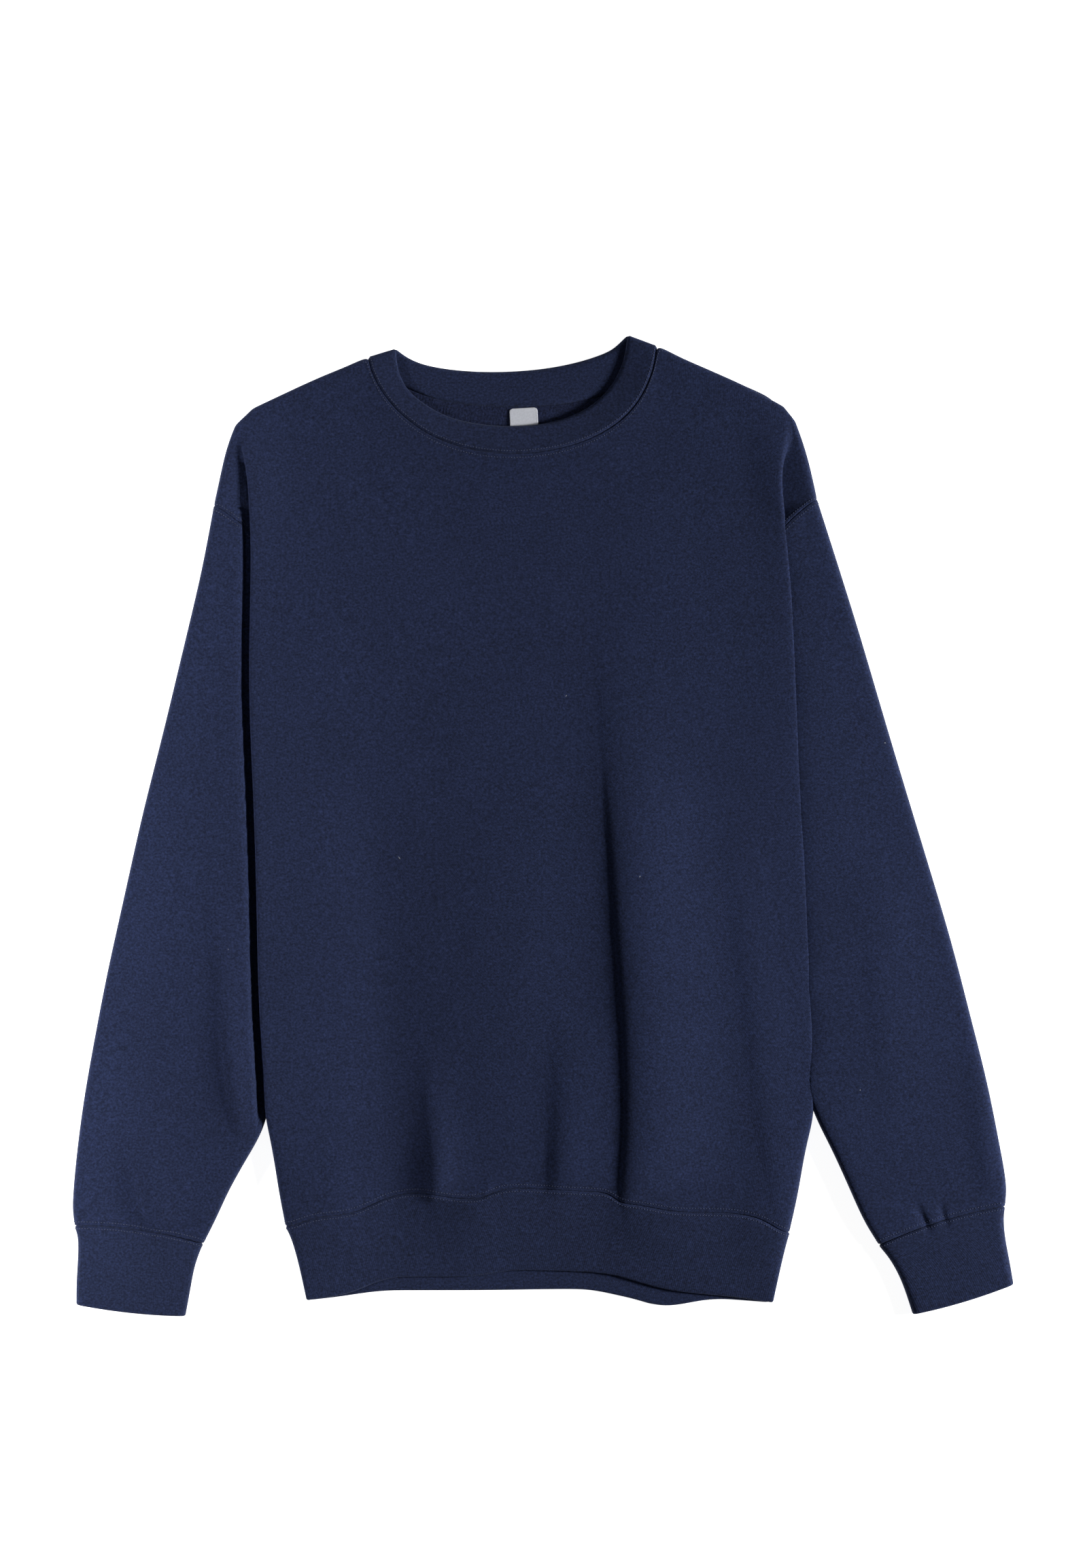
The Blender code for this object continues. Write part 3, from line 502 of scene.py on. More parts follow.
@dataclass
class Cloth:
    """A sheet of cloth, as a grid of points on the middle of its wall.

    Rows run down the sheet and columns across it, so that rows x columns points outwards. In a closed
    sheet the last column joins the first.
    """

    points: np.ndarray
    wall: float
    closed: bool = False

    def refined(self, down: int, across: int) -> "Cloth":
        """The same sheet with more rows and columns.

        Args:
            down: Steps between two rows.
            across: Steps between two columns.

        Returns:
            The finer sheet.
        """
        rows = spline(self.points, down)
        columns = spline(rows.swapaxes(0, 1), across, self.closed)
        return Cloth(columns.swapaxes(0, 1), self.wall, self.closed)

    def joined(self, grid: np.ndarray) -> np.ndarray:
        """A grid with its first column again at its end, if the sheet is closed."""
        return np.concatenate([grid, grid[:, :1]], axis=1) if self.closed else grid

    def normals(self, grid: np.ndarray) -> np.ndarray:
        """Outward unit normals of a grid of points.

        Args:
            grid: The points, without the joint of a closed sheet.

        Returns:
            A normal for each.
        """
        down = np.gradient(grid, axis=0)
        if self.closed:
            across = (np.roll(grid, -1, axis=1) - np.roll(grid, 1, axis=1)) / 2
        else:
            across = np.gradient(grid, axis=1)
        normal = np.cross(down, across)
        return normal / np.maximum(np.linalg.norm(normal, axis=-1, keepdims=True), 1e-9)

    def flat_places(self) -> np.ndarray:
        """Where each point is on the cloth itself, with the joint of a closed sheet.

        Returns:
            For each point u, the length along its row, and v, the length down its column.
        """
        around = run_along(self.joined(self.points).swapaxes(0, 1)).T
        along = self.joined(run_along(self.points))
        return np.stack([around, along], axis=-1)

    def edge_stack(self, edge: Edge) -> np.ndarray:
        """The grid as a stack of lines that starts at one of its edges."""
        grid = self.points if edge in (Edge.TOP, Edge.BOTTOM) else self.points.swapaxes(0, 1)
        return grid if edge in (Edge.TOP, Edge.FIRST) else grid[::-1]

    def stitch_row(self, edge: Edge, face: Face, inset: float, span: Range) -> np.ndarray:
        """A line on the surface of the cloth along one of its edges.

        Args:
            edge: The edge that it follows.
            face: The face of the cloth that it lies on.
            inset: Its distance from that edge.
            span: Shares of the edge where it starts and ends.

        Returns:
            Points of the line, the first again at the end of a closed one.
        """
        surface = Cloth(self.points + self.normals(self.points) * face.value * self.wall / 2, self.wall)
        stack = surface.edge_stack(edge)
        runs = run_along(self.edge_stack(edge))
        count = stack.shape[1]
        chosen = range(round(span[0] * (count - 1)), round(span[1] * (count - 1)) + 1)
        line = [[np.interp(inset, runs[:, k], stack[:, k, axis]) for axis in range(3)] for k in chosen]
        if self.closed and span == UNIT:
            line.append(line[0])
        return np.array(line)

    def shell(self, name: str, outside: bpy.types.Material, inside: bpy.types.Material) -> bpy.types.Object:
        """Makes the sheet an object: a closed shell with rounded rims.

        Args:
            name: Name of the piece.
            outside: Material of its outer face and rims.
            inside: Material of its inner face.

        Returns:
            The piece.
        """
        half = self.wall / 2
        joined = np.concatenate([self.joined(self.points), self.flat_places()], axis=-1)
        joined = with_rim_lines(joined, half)
        if not self.closed:
            joined = with_rim_lines(joined.swapaxes(0, 1), half).swapaxes(0, 1)
        grid = joined[:, :-1, :3] if self.closed else joined[..., :3]
        places = joined[..., 3:] * MM
        from_edge = distance_from_ends(grid)
        if not self.closed:
            from_edge = np.minimum(from_edge, distance_from_ends(grid.swapaxes(0, 1)).T)
        fullness = np.sqrt(1.0 - (1.0 - np.clip(from_edge / half, 0.0, 1.0)) ** 2)
        offset = self.normals(grid) * half * np.maximum(fullness, RIM_SHARE)[..., None]
        count = grid.shape[0] * grid.shape[1]
        outer = np.arange(count).reshape(grid.shape[:2])
        corner = np.arange(places.shape[0] * places.shape[1]).reshape(places.shape[:2])
        corners = [self.joined(outer), self.joined(outer + count)]
        faces = []
        for layer, turned in ((corners[0], False), (corners[1], True)):
            faces.append((grid_cells(layer, turned), grid_cells(corner, turned), int(turned)))
        rims = [(0, False, False), (-1, True, False)]
        if not self.closed:
            rims += [(0, True, True), (-1, False, True)]
        for line, turned, sideways in rims:
            pair = [layer.T[line] if sideways else layer[line] for layer in corners]
            mark = corner.T[line] if sideways else corner[line]
            faces.append((rim_cells(*pair, turned), rim_cells(mark, mark, turned), 0))
        vertices = np.concatenate([(grid + offset).reshape(-1, 3), (grid - offset).reshape(-1, 3)]) * MM
        mesh = bpy.data.meshes.new(name)
        mesh.from_pydata(vertices.tolist(), [], np.concatenate([cells for cells, _, _ in faces]).tolist())
        marks = np.concatenate([cells for _, cells, _ in faces])
        layer = mesh.uv_layers.new(name=UV_NAME)
        layer.uv.foreach_set("vector", places.reshape(-1, 2)[marks.ravel()].astype(np.float32).ravel())
        slots = np.concatenate([np.full(len(cells), slot) for cells, _, slot in faces])
        mesh.polygons.foreach_set("material_index", slots.astype(np.int32))
        mesh.materials.append(outside)
        mesh.materials.append(inside)
        mesh.shade_smooth()
        mesh.update()
        return new_object(name, mesh)


def new_object(name: str, data: bpy.types.ID) -> bpy.types.Object:
    """Makes an object of some data and links it to the scene.

    Args:
        name: Its name.
        data: Its mesh, light or camera.

    Returns:
        The object.
    """
    made = bpy.data.objects.new(name, data)
    bpy.context.scene.collection.objects.link(made)
    return made


def with_rim_lines(stack: np.ndarray, reach: float) -> np.ndarray:
    """Adds lines close to the first and last line of a stack, where the rim of the cloth turns.

    Args:
        stack: Lines of points.
        reach: Half the wall of the cloth.

    Returns:
        The stack with its new lines.
    """
    for _ in range(2):
        step = stack[1] - stack[0]
        gap = np.linalg.norm(step[..., :3], axis=-1, keepdims=True)
        if gap.min() > RIM_ROOM * reach:
            lines = [stack[0] + step * share * reach / gap for share in RIM_STEPS]
            stack = np.concatenate([stack[:1], np.stack(lines), stack[1:]])
        stack = stack[::-1]
    return stack


def distance_from_ends(stack: np.ndarray) -> np.ndarray:
    """Length from each line of a stack to its nearer end."""
    runs = run_along(stack)
    return np.minimum(runs, runs[-1:] - runs)


def grid_cells(index: np.ndarray, turned: bool) -> np.ndarray:
    """The corners of every cell of a grid of numbers, facing the other way if turned."""
    cells = np.stack([index[:-1, :-1], index[1:, :-1], index[1:, 1:], index[:-1, 1:]], axis=-1)
    return cells.reshape(-1, 4)[:, ::-1] if turned else cells.reshape(-1, 4)


def rim_cells(outer: np.ndarray, inner: np.ndarray, turned: bool) -> np.ndarray:
    """The corners of every cell between two lines of numbers, facing the other way if turned."""
    cells = np.stack([outer[:-1], outer[1:], inner[1:], inner[:-1]], axis=-1)
    return cells[:, ::-1] if turned else cells


# ---- Sides of the garment


@dataclass(frozen=True)
class Side:
    """Measurements of one side of the garment, and the lines that its pieces share."""

    word: str
    sign: int
    shoulder: Pairs
    corner: tuple[Place, Place]
    outline: Pairs
    fold: Pairs
    gap: Gap
    armhole_bend: Place
    armpit_bend: Place
    sleeve: tuple[Station, ...]
    cuff: tuple[Station, ...]

    def fold_out(self, y: float) -> float:
        """Middle of the wall at the folded side of the body."""
        return smooth(self.fold, y) - FLEECE / 2

    def sleeve_inner(self, y: float) -> float:
        """Inner edge of the sleeve, which runs under the body as far as the folded side."""
        return smooth([(row.inner_y, row.inner_out) for row in self.sleeve], y)

    def sleeve_height(self, place: Place, full: float) -> float:
        """Height of a sleeve's upper layer: full where it is free, pressed where the body lies on it.

        Args:
            place: Where on the sleeve.
            full: Its height where it is free, at its outer edge.

        Returns:
            The height.
        """
        beside = place.out - self.fold_out(place.y)
        dome = SLEEVE_DOME * ease(1.0 - beside / SLEEVE_WIDTH)
        inside, over = SLEEVE_RISES
        return lerp(PRESSED, full + dome, ease((beside + inside) / over))

    def press(self, points: np.ndarray) -> None:
        """Presses cloth down under the body and beside its folded side, down to where the sleeve leaves it.

        Args:
            points: Points of the cloth, which are changed.
        """
        levels = np.linspace(self.fold[-1][0], self.fold[0][0], LEVELS)
        folds = [self.fold_out(level) for level in levels]
        beside = self.sign * points[..., 0] - np.interp(points[..., 1], levels, folds)
        beside += self.gap.narrowing * eased((points[..., 1] - GAP_NARROWS) / (PRESS_STARTS - GAP_NARROWS))
        leaves = eased((SLEEVE_LEAVES - points[..., 1]) / LEAVES_OVER)
        starts = eased((points[..., 1] - PRESS_STARTS) / PRESS_FADES)
        risen = eased((beside - self.gap.near) / (self.gap.far - self.gap.near))
        share = np.maximum(risen, leaves + starts)
        above = np.maximum(points[..., 2] - PRESSED, 0.0)
        points[..., 2] -= above * (1.0 - share)

    def seam_cubic(self, station: Station, wall: float, bend: float, bow: float) -> list[Place]:
        """Control places of the line across a sleeve or cuff, from its outer edge to its inner edge.

        Args:
            station: Where the line is.
            wall: Wall of the cloth.
            bend: 1 at the armhole, where the line has its full curve.
            bow: How far its middle is lifted.

        Returns:
            Four control places of a cubic.
        """
        start = self.sleeve[0]
        outer = Place(station.outer_out - wall / 2, station.outer_y)
        inner = Place(station.inner_out + wall / 2, station.inner_y)
        controls = [outer]
        for share, bent in ((1 / 3, self.armhole_bend), (2 / 3, self.armpit_bend)):
            out = bent.out - lerp(start.outer_out, start.inner_out, share)
            y = bent.y - lerp(start.outer_y, start.inner_y, share)
            straight = Place(lerp(outer.out, inner.out, share), lerp(outer.y, inner.y, share))
            controls.append(Place(straight.out + bend * out, straight.y + bend * y + bow))
        return controls + [inner]

    def armhole_places(self, gap: float) -> list[Place]:
        """Places of a panel's edge along the armhole, from the outline towards the armpit.

        Args:
            gap: Between the panel and the sleeve at their seam.

        Returns:
            A place for each row of the panel.
        """
        controls = self.seam_cubic(self.sleeve[0], FLEECE, 1.0, 0.0)
        places = []
        for share in shares_across(controls)[: len(ROWS_ON_ARMHOLE)]:
            here = cubic_place(controls, share)
            ahead = cubic_place(controls, share + AHEAD)
            run = math.dist(here, ahead) / gap
            places.append(Place(here.out + (ahead.y - here.y) / run, here.y - (ahead.out - here.out) / run))
        return places

    def row_ends(self, gap: float) -> list[Place]:
        """The outer end of every row of a panel, which follows the sleeve at a gap.

        Args:
            gap: Between the panel and the sleeve at their seam.

        Returns:
            Places down the outline, along the armhole, then down the side seam.
        """
        top = self.corner[1].y
        low = self.outline[-1][0]
        ys = [top - ROUND * step for step in EDGE_STEPS]
        steps = len(ROWS_TO_ARMHOLE)
        ys += [lerp(top - ROUND, low, (i + 1) / (steps + 1)) for i in range(steps)]
        ends = [Place(smooth(self.outline, y) - FLEECE / 2, y) for y in ys]
        ends += self.armhole_places(gap)
        beside_body = down(self.corner[0].y, self.fold[-1][0])[FIRST_SIDE_SEAM_ROW + len(SIDE_SEAM_ROWS) :]
        for y in [*SIDE_SEAM_ROWS, *beside_body]:
            under_sleeve = min(self.sleeve_inner(y), self.fold_out(y) - TURN) - SIDE_SEAM_INSET
            rolled_under = self.fold_out(y) - SIDE_WRAP
            ends.append(Place(lerp(under_sleeve, rolled_under, freed_share(y)), y))
        return ends

    def tucked_section(self, end: Place, end_z: float, fold: float) -> Section:
        """Side of a row at the armhole: in under the body, back out over that, and round to the front.

        Args:
            end: Outer end of the row.
            end_z: Height of that.
            fold: How far out the folded side is.

        Returns:
            How far out and how high each of its points is.
        """
        tuck = min(fold - FOLD_DEPTH, end.out - FOLD_PAST_END)
        section = []
        for step in EDGE_STEPS:
            place = Place(end.out - ROUND * step, end.y)
            full = self.sleeve_height(place, self.sleeve[0].height)
            section.append((place.out, lerp(end_z, full, rounding(step))))
        section += [(tuck + TURN, PRESSED), (tuck, PRESSED + TURN), (tuck + TURN, RETURN)]
        return section + turn_points(fold, RETURN + TURN, TURN)

    def stepped_section(self, end: Place, fold: float) -> Section:
        """Side of a row below the armpit: up over the inner edge of the sleeve and out to the fold.

        Args:
            end: Outer end of the row.
            fold: How far out the folded side is.

        Returns:
            How far out and how high each of its points is.
        """
        inner = self.sleeve_inner(end.y)
        wall = fold - TURN
        section = [(end.out + step, RESTING) for step in STEPS_UNDER_BODY]
        section += [(min(inner + step, wall - inside), z) for step, inside, z in STEPS_OVER_SLEEVE]
        return section + turn_points(fold, RETURN + TURN, TURN)

    def side_rows(self) -> Rows:
        """Works out the side of every row of the front.

        Returns:
            For each row, its points from its end round the folded side to its top.
        """
        top = self.corner[0]
        ends = self.row_ends(CURVED_SEAM)
        start = ends[FIRST_ARMHOLE_ROW]
        rows = []
        for j, (end, y) in enumerate(zip(ends, down(top.y, self.fold[-1][0]))):
            fold = self.fold_out(y)
            if j < FIRST_ARMHOLE_ROW:
                inner_out = lerp(top.out, fold - TURN, ease((top.y - y) / SHOULDER_TURNS))
                height = lerp(SHOULDER, FOLD_TOP - SHOULDER_DROP, ease((top.y - y) / SHOULDER_RISES))
                rounded = smooth_section(end, inner_out, height)
                tucked = self.tucked_section(end, FRONT_EDGE, fold)
                section = blend(rounded, tucked, ease((FOLD_FORMS[0] - y) / FOLD_FORMS[1]))
            elif j < FIRST_SIDE_SEAM_ROW:
                full = self.sleeve_height(end, self.sleeve[0].height)
                end_z = lerp(FRONT_EDGE, full, rounding(math.dist(end, start) / ROUND))
                section = self.tucked_section(end, end_z, fold)
            else:
                height = lerp(FOLD_TOP, HEM_SIDE_HEIGHT, ease((HEM_ROLLS[0] - y) / HEM_ROLLS[1]))
                rolled = rolled_section(end, fold, height)
                section = blend(self.stepped_section(end, fold), rolled, freed_share(y))
            ys = [lerp(end.y, y, ease(i / (SIDE_POINTS - 1))) for i in range(SIDE_POINTS)]
            if j < len(EDGE_STEPS):
                section = [(out, lerp(FRONT_EDGE, z, rounding(EDGE_STEPS[j]))) for out, z in section]
                ys = [lerp(end.y, y, (end.out - out) / (end.out - section[-1][0])) for out, z in section]
            rows.append([(self.sign * out, row_y, z) for (out, z), row_y in zip(section, ys)])
        return rows


def cubic_place(controls: Sequence[Place], t: float) -> Place:
    """The place at t on a cubic."""
    weights = ((1 - t) ** 3, 3 * t * (1 - t) ** 2, 3 * t * t * (1 - t), t**3)
    return Place(*(sum(w * p[axis] for w, p in zip(weights, controls)) for axis in (0, 1)))


def shares_across(controls: Sequence[Place]) -> list[float]:
    """Shares along a cubic for the points across a sleeve, close together at its round edges.

    Args:
        controls: Control places of the cubic.

    Returns:
        The shares in order.
    """
    first = 3.0 * math.dist(controls[0], controls[1])
    last = 3.0 * math.dist(controls[2], controls[3])
    start = [ROUND * step / first for step in ROUND_STEPS]
    end = [1.0 - ROUND * step / last for step in reversed(ROUND_STEPS)]
    return start + list(ACROSS) + end


def tube_ring(
    controls: Sequence[Place], height_at: Callable[[Place], float], resting: float
) -> list[Point]:
    """Closed ring round a flattened tube: over its upper layer, then back along its lower one.

    Args:
        controls: Control places of the line across the tube.
        height_at: Height of the upper layer at a place.
        resting: Height of the lower layer.

    Returns:
        The points of the ring.
    """
    places = [cubic_place(controls, share) for share in shares_across(controls)]
    upper = []
    lower = []
    for place in places:
        height = height_at(place)
        turn = rounding(min(math.dist(place, places[0]), math.dist(place, places[-1])) / ROUND)
        middle = (height + resting) / 2
        upper.append((place.out, place.y, lerp(middle, height, turn)))
        lower.append((place.out, place.y, lerp(middle, resting, turn)))
    return upper + lower[-2:0:-1]


def down(top: float, bottom: float) -> list[float]:
    """Heights on the body of one line of the front or back, at every row.

    Args:
        top: Where the line starts.
        bottom: Where it ends.

    Returns:
        The heights.
    """
    start = RIGHT_SIDE.corner[0].y
    end = RIGHT_SIDE.fold[-1][0]
    rows = ROWS_TO_ARMHOLE + ROWS_ON_ARMHOLE + ROWS_BELOW_ARMPIT + (end,)
    rounded = [top - ROUND * step for step in EDGE_STEPS]
    return rounded + [lerp(top, bottom, (start - y) / (start - end)) for y in rows]


def freed_share(y: float) -> float:
    """0 where the sleeve lies under the side of the body, 1 where the side is free of it."""
    return ease((SLEEVE_LEAVES - y) / FREED_OVER)


def turn_points(out: float, middle: float, radius: float) -> Section:
    """Points round a fold, from below it to its top.

    Args:
        out: How far out its outermost point is.
        middle: How high that is.
        radius: Radius of the fold.

    Returns:
        How far out and how high each point is.
    """
    points = []
    for step in range(TURN_POINTS):
        angle = math.radians(180.0 * step / (TURN_POINTS - 1) - 90.0)
        points.append((out - radius + radius * math.cos(angle), middle + radius * math.sin(angle)))
    return points


def smooth_section(end: Place, inner_out: float, height: float) -> Section:
    """Side of a row above the fold, where the shoulder runs smoothly out to the outline.

    Args:
        end: Outer end of the row.
        inner_out: How far out its innermost point is.
        height: Height of that.

    Returns:
        How far out and how high each of its points is.
    """
    section = [(end.out - ROUND * step, lerp(FRONT_EDGE, SHOULDER, rounding(step))) for step in EDGE_STEPS]
    steps = SIDE_POINTS - len(EDGE_STEPS)
    for step in range(1, steps + 1):
        out = lerp(end.out - ROUND, inner_out, step / steps)
        section.append((out, lerp(SHOULDER, height, ease(step / steps))))
    return section


def rolled_section(end: Place, fold: float, height: float) -> Section:
    """Side of a row below the sleeve: rolled round to the underside.

    Args:
        end: Outer end of the row.
        fold: How far out the rolled side is.
        height: Height of the upper layer there.

    Returns:
        How far out and how high each of its points is.
    """
    radius = (height - RESTING) / 2
    steps = SIDE_POINTS - TURN_POINTS
    section = [(lerp(end.out, fold - radius, step / steps), RESTING) for step in range(steps)]
    return section + turn_points(fold, RESTING + radius, radius)


# ---- Measurements


# Lines down the front from the neck or shoulder to the hem. A fold of the front is a low or a high line.
FRONT_COLUMNS = (
    Column(-193, -193, -193, -172, 11.5, 11.5, 10.6),  # right shoulder out
    Column(-162, -168, -166, -153, 11.1, 10.9, 10.2),  # right shoulder
    Column(None, -148, -136, -134, 10.9, 8.4, 7.6),  # right neck point
    Column(None, -134, -121, -117, 10.7, 7.4, 6.4),  # right neck high
    Column(None, -118, -107, -102, 10.6, 8.2, 7.4),  # right neck side
    Column(None, -98, -91, -86, 10.6, 9.9, 9.2),  # right trough
    Column(None, -74, -73, -70, 10.8, 11.4, 11.4),  # right trough side
    Column(None, -46, -46, -47, 11.2, 13, 12.9),  # middle right
    Column(None, -16, -20, -24, 11.3, 13.4, 13),  # middle
    Column(None, 8, 4, 4, 11.1, 12.6, 11.4),  # short tuck
    Column(None, 28, 36, 38, 11, 11.6, 10.6),  # deep tuck brink
    Column(None, 42, 56, 55, 11.1, 11.4, 10.4),  # deep tuck
    Column(None, 55, 65, 64, 11.2, 11.4, 10.6),  # left ridge side
    Column(None, 76, 86, 90, 11.4, 11.6, 11),  # left ridge
    Column(None, 100, 108, 114, 11.2, 11.2, 10.6),  # left neck point
    Column(118, 125, 132, 140, 11, 10.6, 9.8),  # left trough
    Column(152, 154, 160, 162, 11.2, 11.2, 10.2),  # left shoulder out
)
RIGHT_NECK_COLUMN = 2
LEFT_NECK_COLUMN = 14
LEFT_NECK_STATION = 2 * (LEFT_NECK_COLUMN - RIGHT_NECK_COLUMN)  # the right one is 0

# Where lines of the back meet the shoulder seam
BACK_SHOULDER_RIGHT = (-211, -203, -195, -177, -161, -146)
BACK_SHOULDER_LEFT = (101, 118, 135, 152, 162, 172)

# Front half of the neck rib, from the wearer's right shoulder to the left. The first and last rows are
# the shoulder points.
NECK_FRONT = table(
    NeckStation,
    (-130.6, 350.2, 4.3, -109.6, 356.6, 4.9), (-128.2, 341, 7.4, -108.6, 345, 5.3),
    (-120, 324.5, 7.9, -104, 331.4, 5.6), (-106, 308, 8.3, -94, 319.9, 5.9),
    (-84, 292, 8.8, -72.5, 306.6, 6.1), (-56, 281.9, 9.2, -46, 300.4, 6.2),
    (-25, 278.3, 9.4, -17.5, 299.1, 6.2), (8, 281.2, 9.4, 8.5, 302.4, 6.2),
    (38.5, 290.9, 9, 32, 311.6, 6), (62, 306.2, 8.6, 48.5, 326, 5.2), (76.5, 326, 8, 57.3, 341, 4.9),
    (83.6, 346.5, 7.4, 61.6, 355, 4.7), (85.4, 358.8, 4.3, 63.1, 367, 4.6),
)
# Back half, from the left shoulder to the right one, flat on the surface.
NECK_BACK = table(
    NeckStation,
    (81, 346.5, 1.5, 54, 358.2, 1.5), (66, 331.5, 1.5, 43, 352.5, 1.5), (42, 321, 1.5, 24, 346.6, 1.5),
    (10, 315.2, 1.5, 0.8, 342.2, 1.5), (-22, 314, 1.5, -24, 340.1, 1.5),
    (-54, 315.4, 1.5, -49, 340, 1.5), (-84, 320.6, 1.5, -72, 342, 1.5),
    (-108, 331, 1.5, -90.5, 345.8, 1.5), (-124, 341.5, 1.5, -102.5, 351.4, 1.5),
)

# Seam between the front and the hem band, x and y; it rides up between the gathers.
HEM_SEAM = (
    (-192.4, -297.1), (-165, -290.2), (-148.3, -288.8), (-132.6, -283.9), (-115.3, -275.8),
    (-90, -272.3), (-69.7, -275.6), (-49.9, -277.6), (-38, -271.6), (-24.6, -268.7), (13.4, -270.2),
    (50, -272.3), (57, -278.9), (75.8, -281.9), (98.6, -286.5), (140, -287.5), (161.5, -291.5),
    (184.3, -301.7),
)
HEM_EDGE_FRONT = (
    (-174.7, -352.9), (-155.4, -350), (-138.2, -345.6), (-124, -339.2), (-105.7, -335.6),
    (-58.6, -335.4), (-20, -330.6), (30.2, -331.6), (52, -334.1), (75.8, -340.7), (96.1, -345.8),
    (144.2, -350.8), (170.6, -354.6),
)
HEM_EDGE_BACK = (
    (-174.7, -353.2), (-155.4, -351), (-112.8, -345.9), (-55.5, -345.8), (27.6, -344.9), (61.6, -350.8),
    (93, -357.8), (111.3, -354.9), (125.5, -352.2), (170.6, -354.9),
)
HEM_SEAM_BACK = ((-192.4, -299), (-90, -289), (60, -289), (184.3, -302))
# How the band narrows below its seam: share of its depth, right and left edge.
HEM_SIDES = ((0, 192, 184), (0.14, 187.4, 181.6), (0.5, 181.6, 177), (1, 175.7, 171.3))
HEM_CLOSED = 4.6  # height of the open edge of the front band

RIGHT_SIDE = Side(
    word="right",
    sign=-1,
    shoulder=((131.1, 349.3), (150, 342.6), (172.6, 333.1), (198.5, 320.9), (214.7, 312.6)),
    corner=(Place(215.5, 312), Place(229, 300)),
    outline=((300, 229), (292.5, 233), (272.3, 238.5), (252, 242.8), (239.8, 245.6)),
    fold=(
        (312, 224), (276.8, 222.3), (253, 219.8), (202.3, 217.9), (110, 219.2), (59.3, 217.6),
        (8.6, 215.4), (-42, 213.9), (-92.8, 212.9), (-143.5, 211.4), (-194.2, 208.4), (-214.5, 207.4),
        (-234.7, 203.2), (-260, 199), (-291.5, 194.4), (-297.1, 192.4),
    ),
    gap=Gap(6, 8.6, 4.2),
    armhole_bend=Place(205, 218),
    armpit_bend=Place(150, 150),
    sleeve=table(
        Station,
        (245.6, 239.8, 130, 50, 7.4), (254.8, 191.1, 141, 15, 7.8), (268, 135, 154, -27, 8.2),
        (283.7, 69.5, 168, -73, 8.4), (299, 9, 181.5, -117, 8.6), (312.6, -52.2, 193.5, -158, 8.8),
        (325, -108, 201, -196, 9), (335.6, -163, 208, -224, 9), (343.5, -209, 219, -244.5, 9.2),
        (349, -254, 233, -269.3, 9.4), (351.1, -283, 243.5, -292, 9.4), (349.4, -297, 252.6, -310, 8.8),
    ),
    cuff=table(
        Station,
        (346.8, -305, 255.6, -316.6, 9.2), (346.8, -320, 259.8, -328, 9.2),
        (348.3, -340, 262.6, -345, 9.2), (348.2, -356.2, 266.3, -364.6, 9.2),
    ),
)
LEFT_SIDE = Side(
    word="left",
    sign=1,
    shoulder=((85.9, 357.6), (105.7, 349.3), (133.6, 337.2), (151.8, 329), (169.6, 320.9), (178, 314.2)),
    corner=(Place(178.6, 313.6), Place(188.4, 302.6)),
    outline=((302.6, 188.4), (292.5, 192.4), (272.3, 198.5), (252, 203.1), (244.4, 204.8)),
    fold=(
        (313, 186), (294.6, 183.3), (280.4, 179.4), (263.6, 178.2), (241.8, 179.7), (208.9, 182.8),
        (160.7, 186.8), (46.6, 191.9), (-67.4, 198), (-208.4, 202.6), (-217.5, 201.8), (-234.7, 197.5),
        (-296.1, 186.3), (-301.7, 184.3),
    ),
    gap=Gap(-7, -3, 0),
    armhole_bend=Place(166, 221.5),
    armpit_bend=Place(122, 152),
    sleeve=table(
        Station,
        (204.8, 244.4, 104, 52, 7.4), (219, 200, 117, 16, 7.8), (236.5, 144, 133, -26, 8.2),
        (255, 81, 149.5, -71, 8.4), (273, 21, 166, -115, 8.6), (290, -35, 181, -156, 8.8),
        (305.5, -87.5, 194, -192, 9), (319.5, -142, 204.2, -218.5, 9), (331.6, -190, 214.5, -239, 9.2),
        (340.2, -233, 226, -264, 9.4), (346.2, -268, 239, -293, 9.4), (345, -282.6, 250, -310.8, 8.8),
    ),
    cuff=table(
        Station,
        (343.8, -292, 256.8, -319.2, 9.2), (345, -307, 263.8, -330.5, 9.2),
        (348.6, -324, 269.4, -343.5, 9.2), (351.4, -341.4, 275.6, -363.2, 9.2),
    ),
)
CUFF_SEAM_BOW = 4.6  # how far the sleeve's end bows up over the cuff
CUFF_EDGE_BOW = -2.4
CUFF_STARTS = (SEAM, 2.4)  # how far from the end of the sleeve the cuff's first two rings are

# Steps across a sleeve between its two rounded edges, as shares of its width
ACROSS = (0.07, 0.15, 0.25, 0.36, 0.48, 0.60, 0.72, 0.84)

# Height on the body of each row of the front, at its folded side, below the three of the shoulder's
# rounding: three down to the armhole, one for each step across the sleeve, then down to the hem.
ROWS_TO_ARMHOLE = (293, 278, 262)
ROWS_ON_ARMHOLE = (248, 245.5, 242, 236.5, 229.5, 219.5, 206, 188, 166, 140, 110, 76)
ROWS_BELOW_ARMPIT = (46, 16, -18, -53, -90, -128, -164, -194, -214, -230, -248, -272)
# Height of the side seam at the first of those rows, which drop towards it
SIDE_SEAM_ROWS = (44, 12, -20, -54)
FIRST_ARMHOLE_ROW = len(EDGE_STEPS) + len(ROWS_TO_ARMHOLE)
FIRST_SIDE_SEAM_ROW = FIRST_ARMHOLE_ROW + len(ROWS_ON_ARMHOLE)
ROW_COUNT = FIRST_SIDE_SEAM_ROW + len(ROWS_BELOW_ARMPIT) + 1

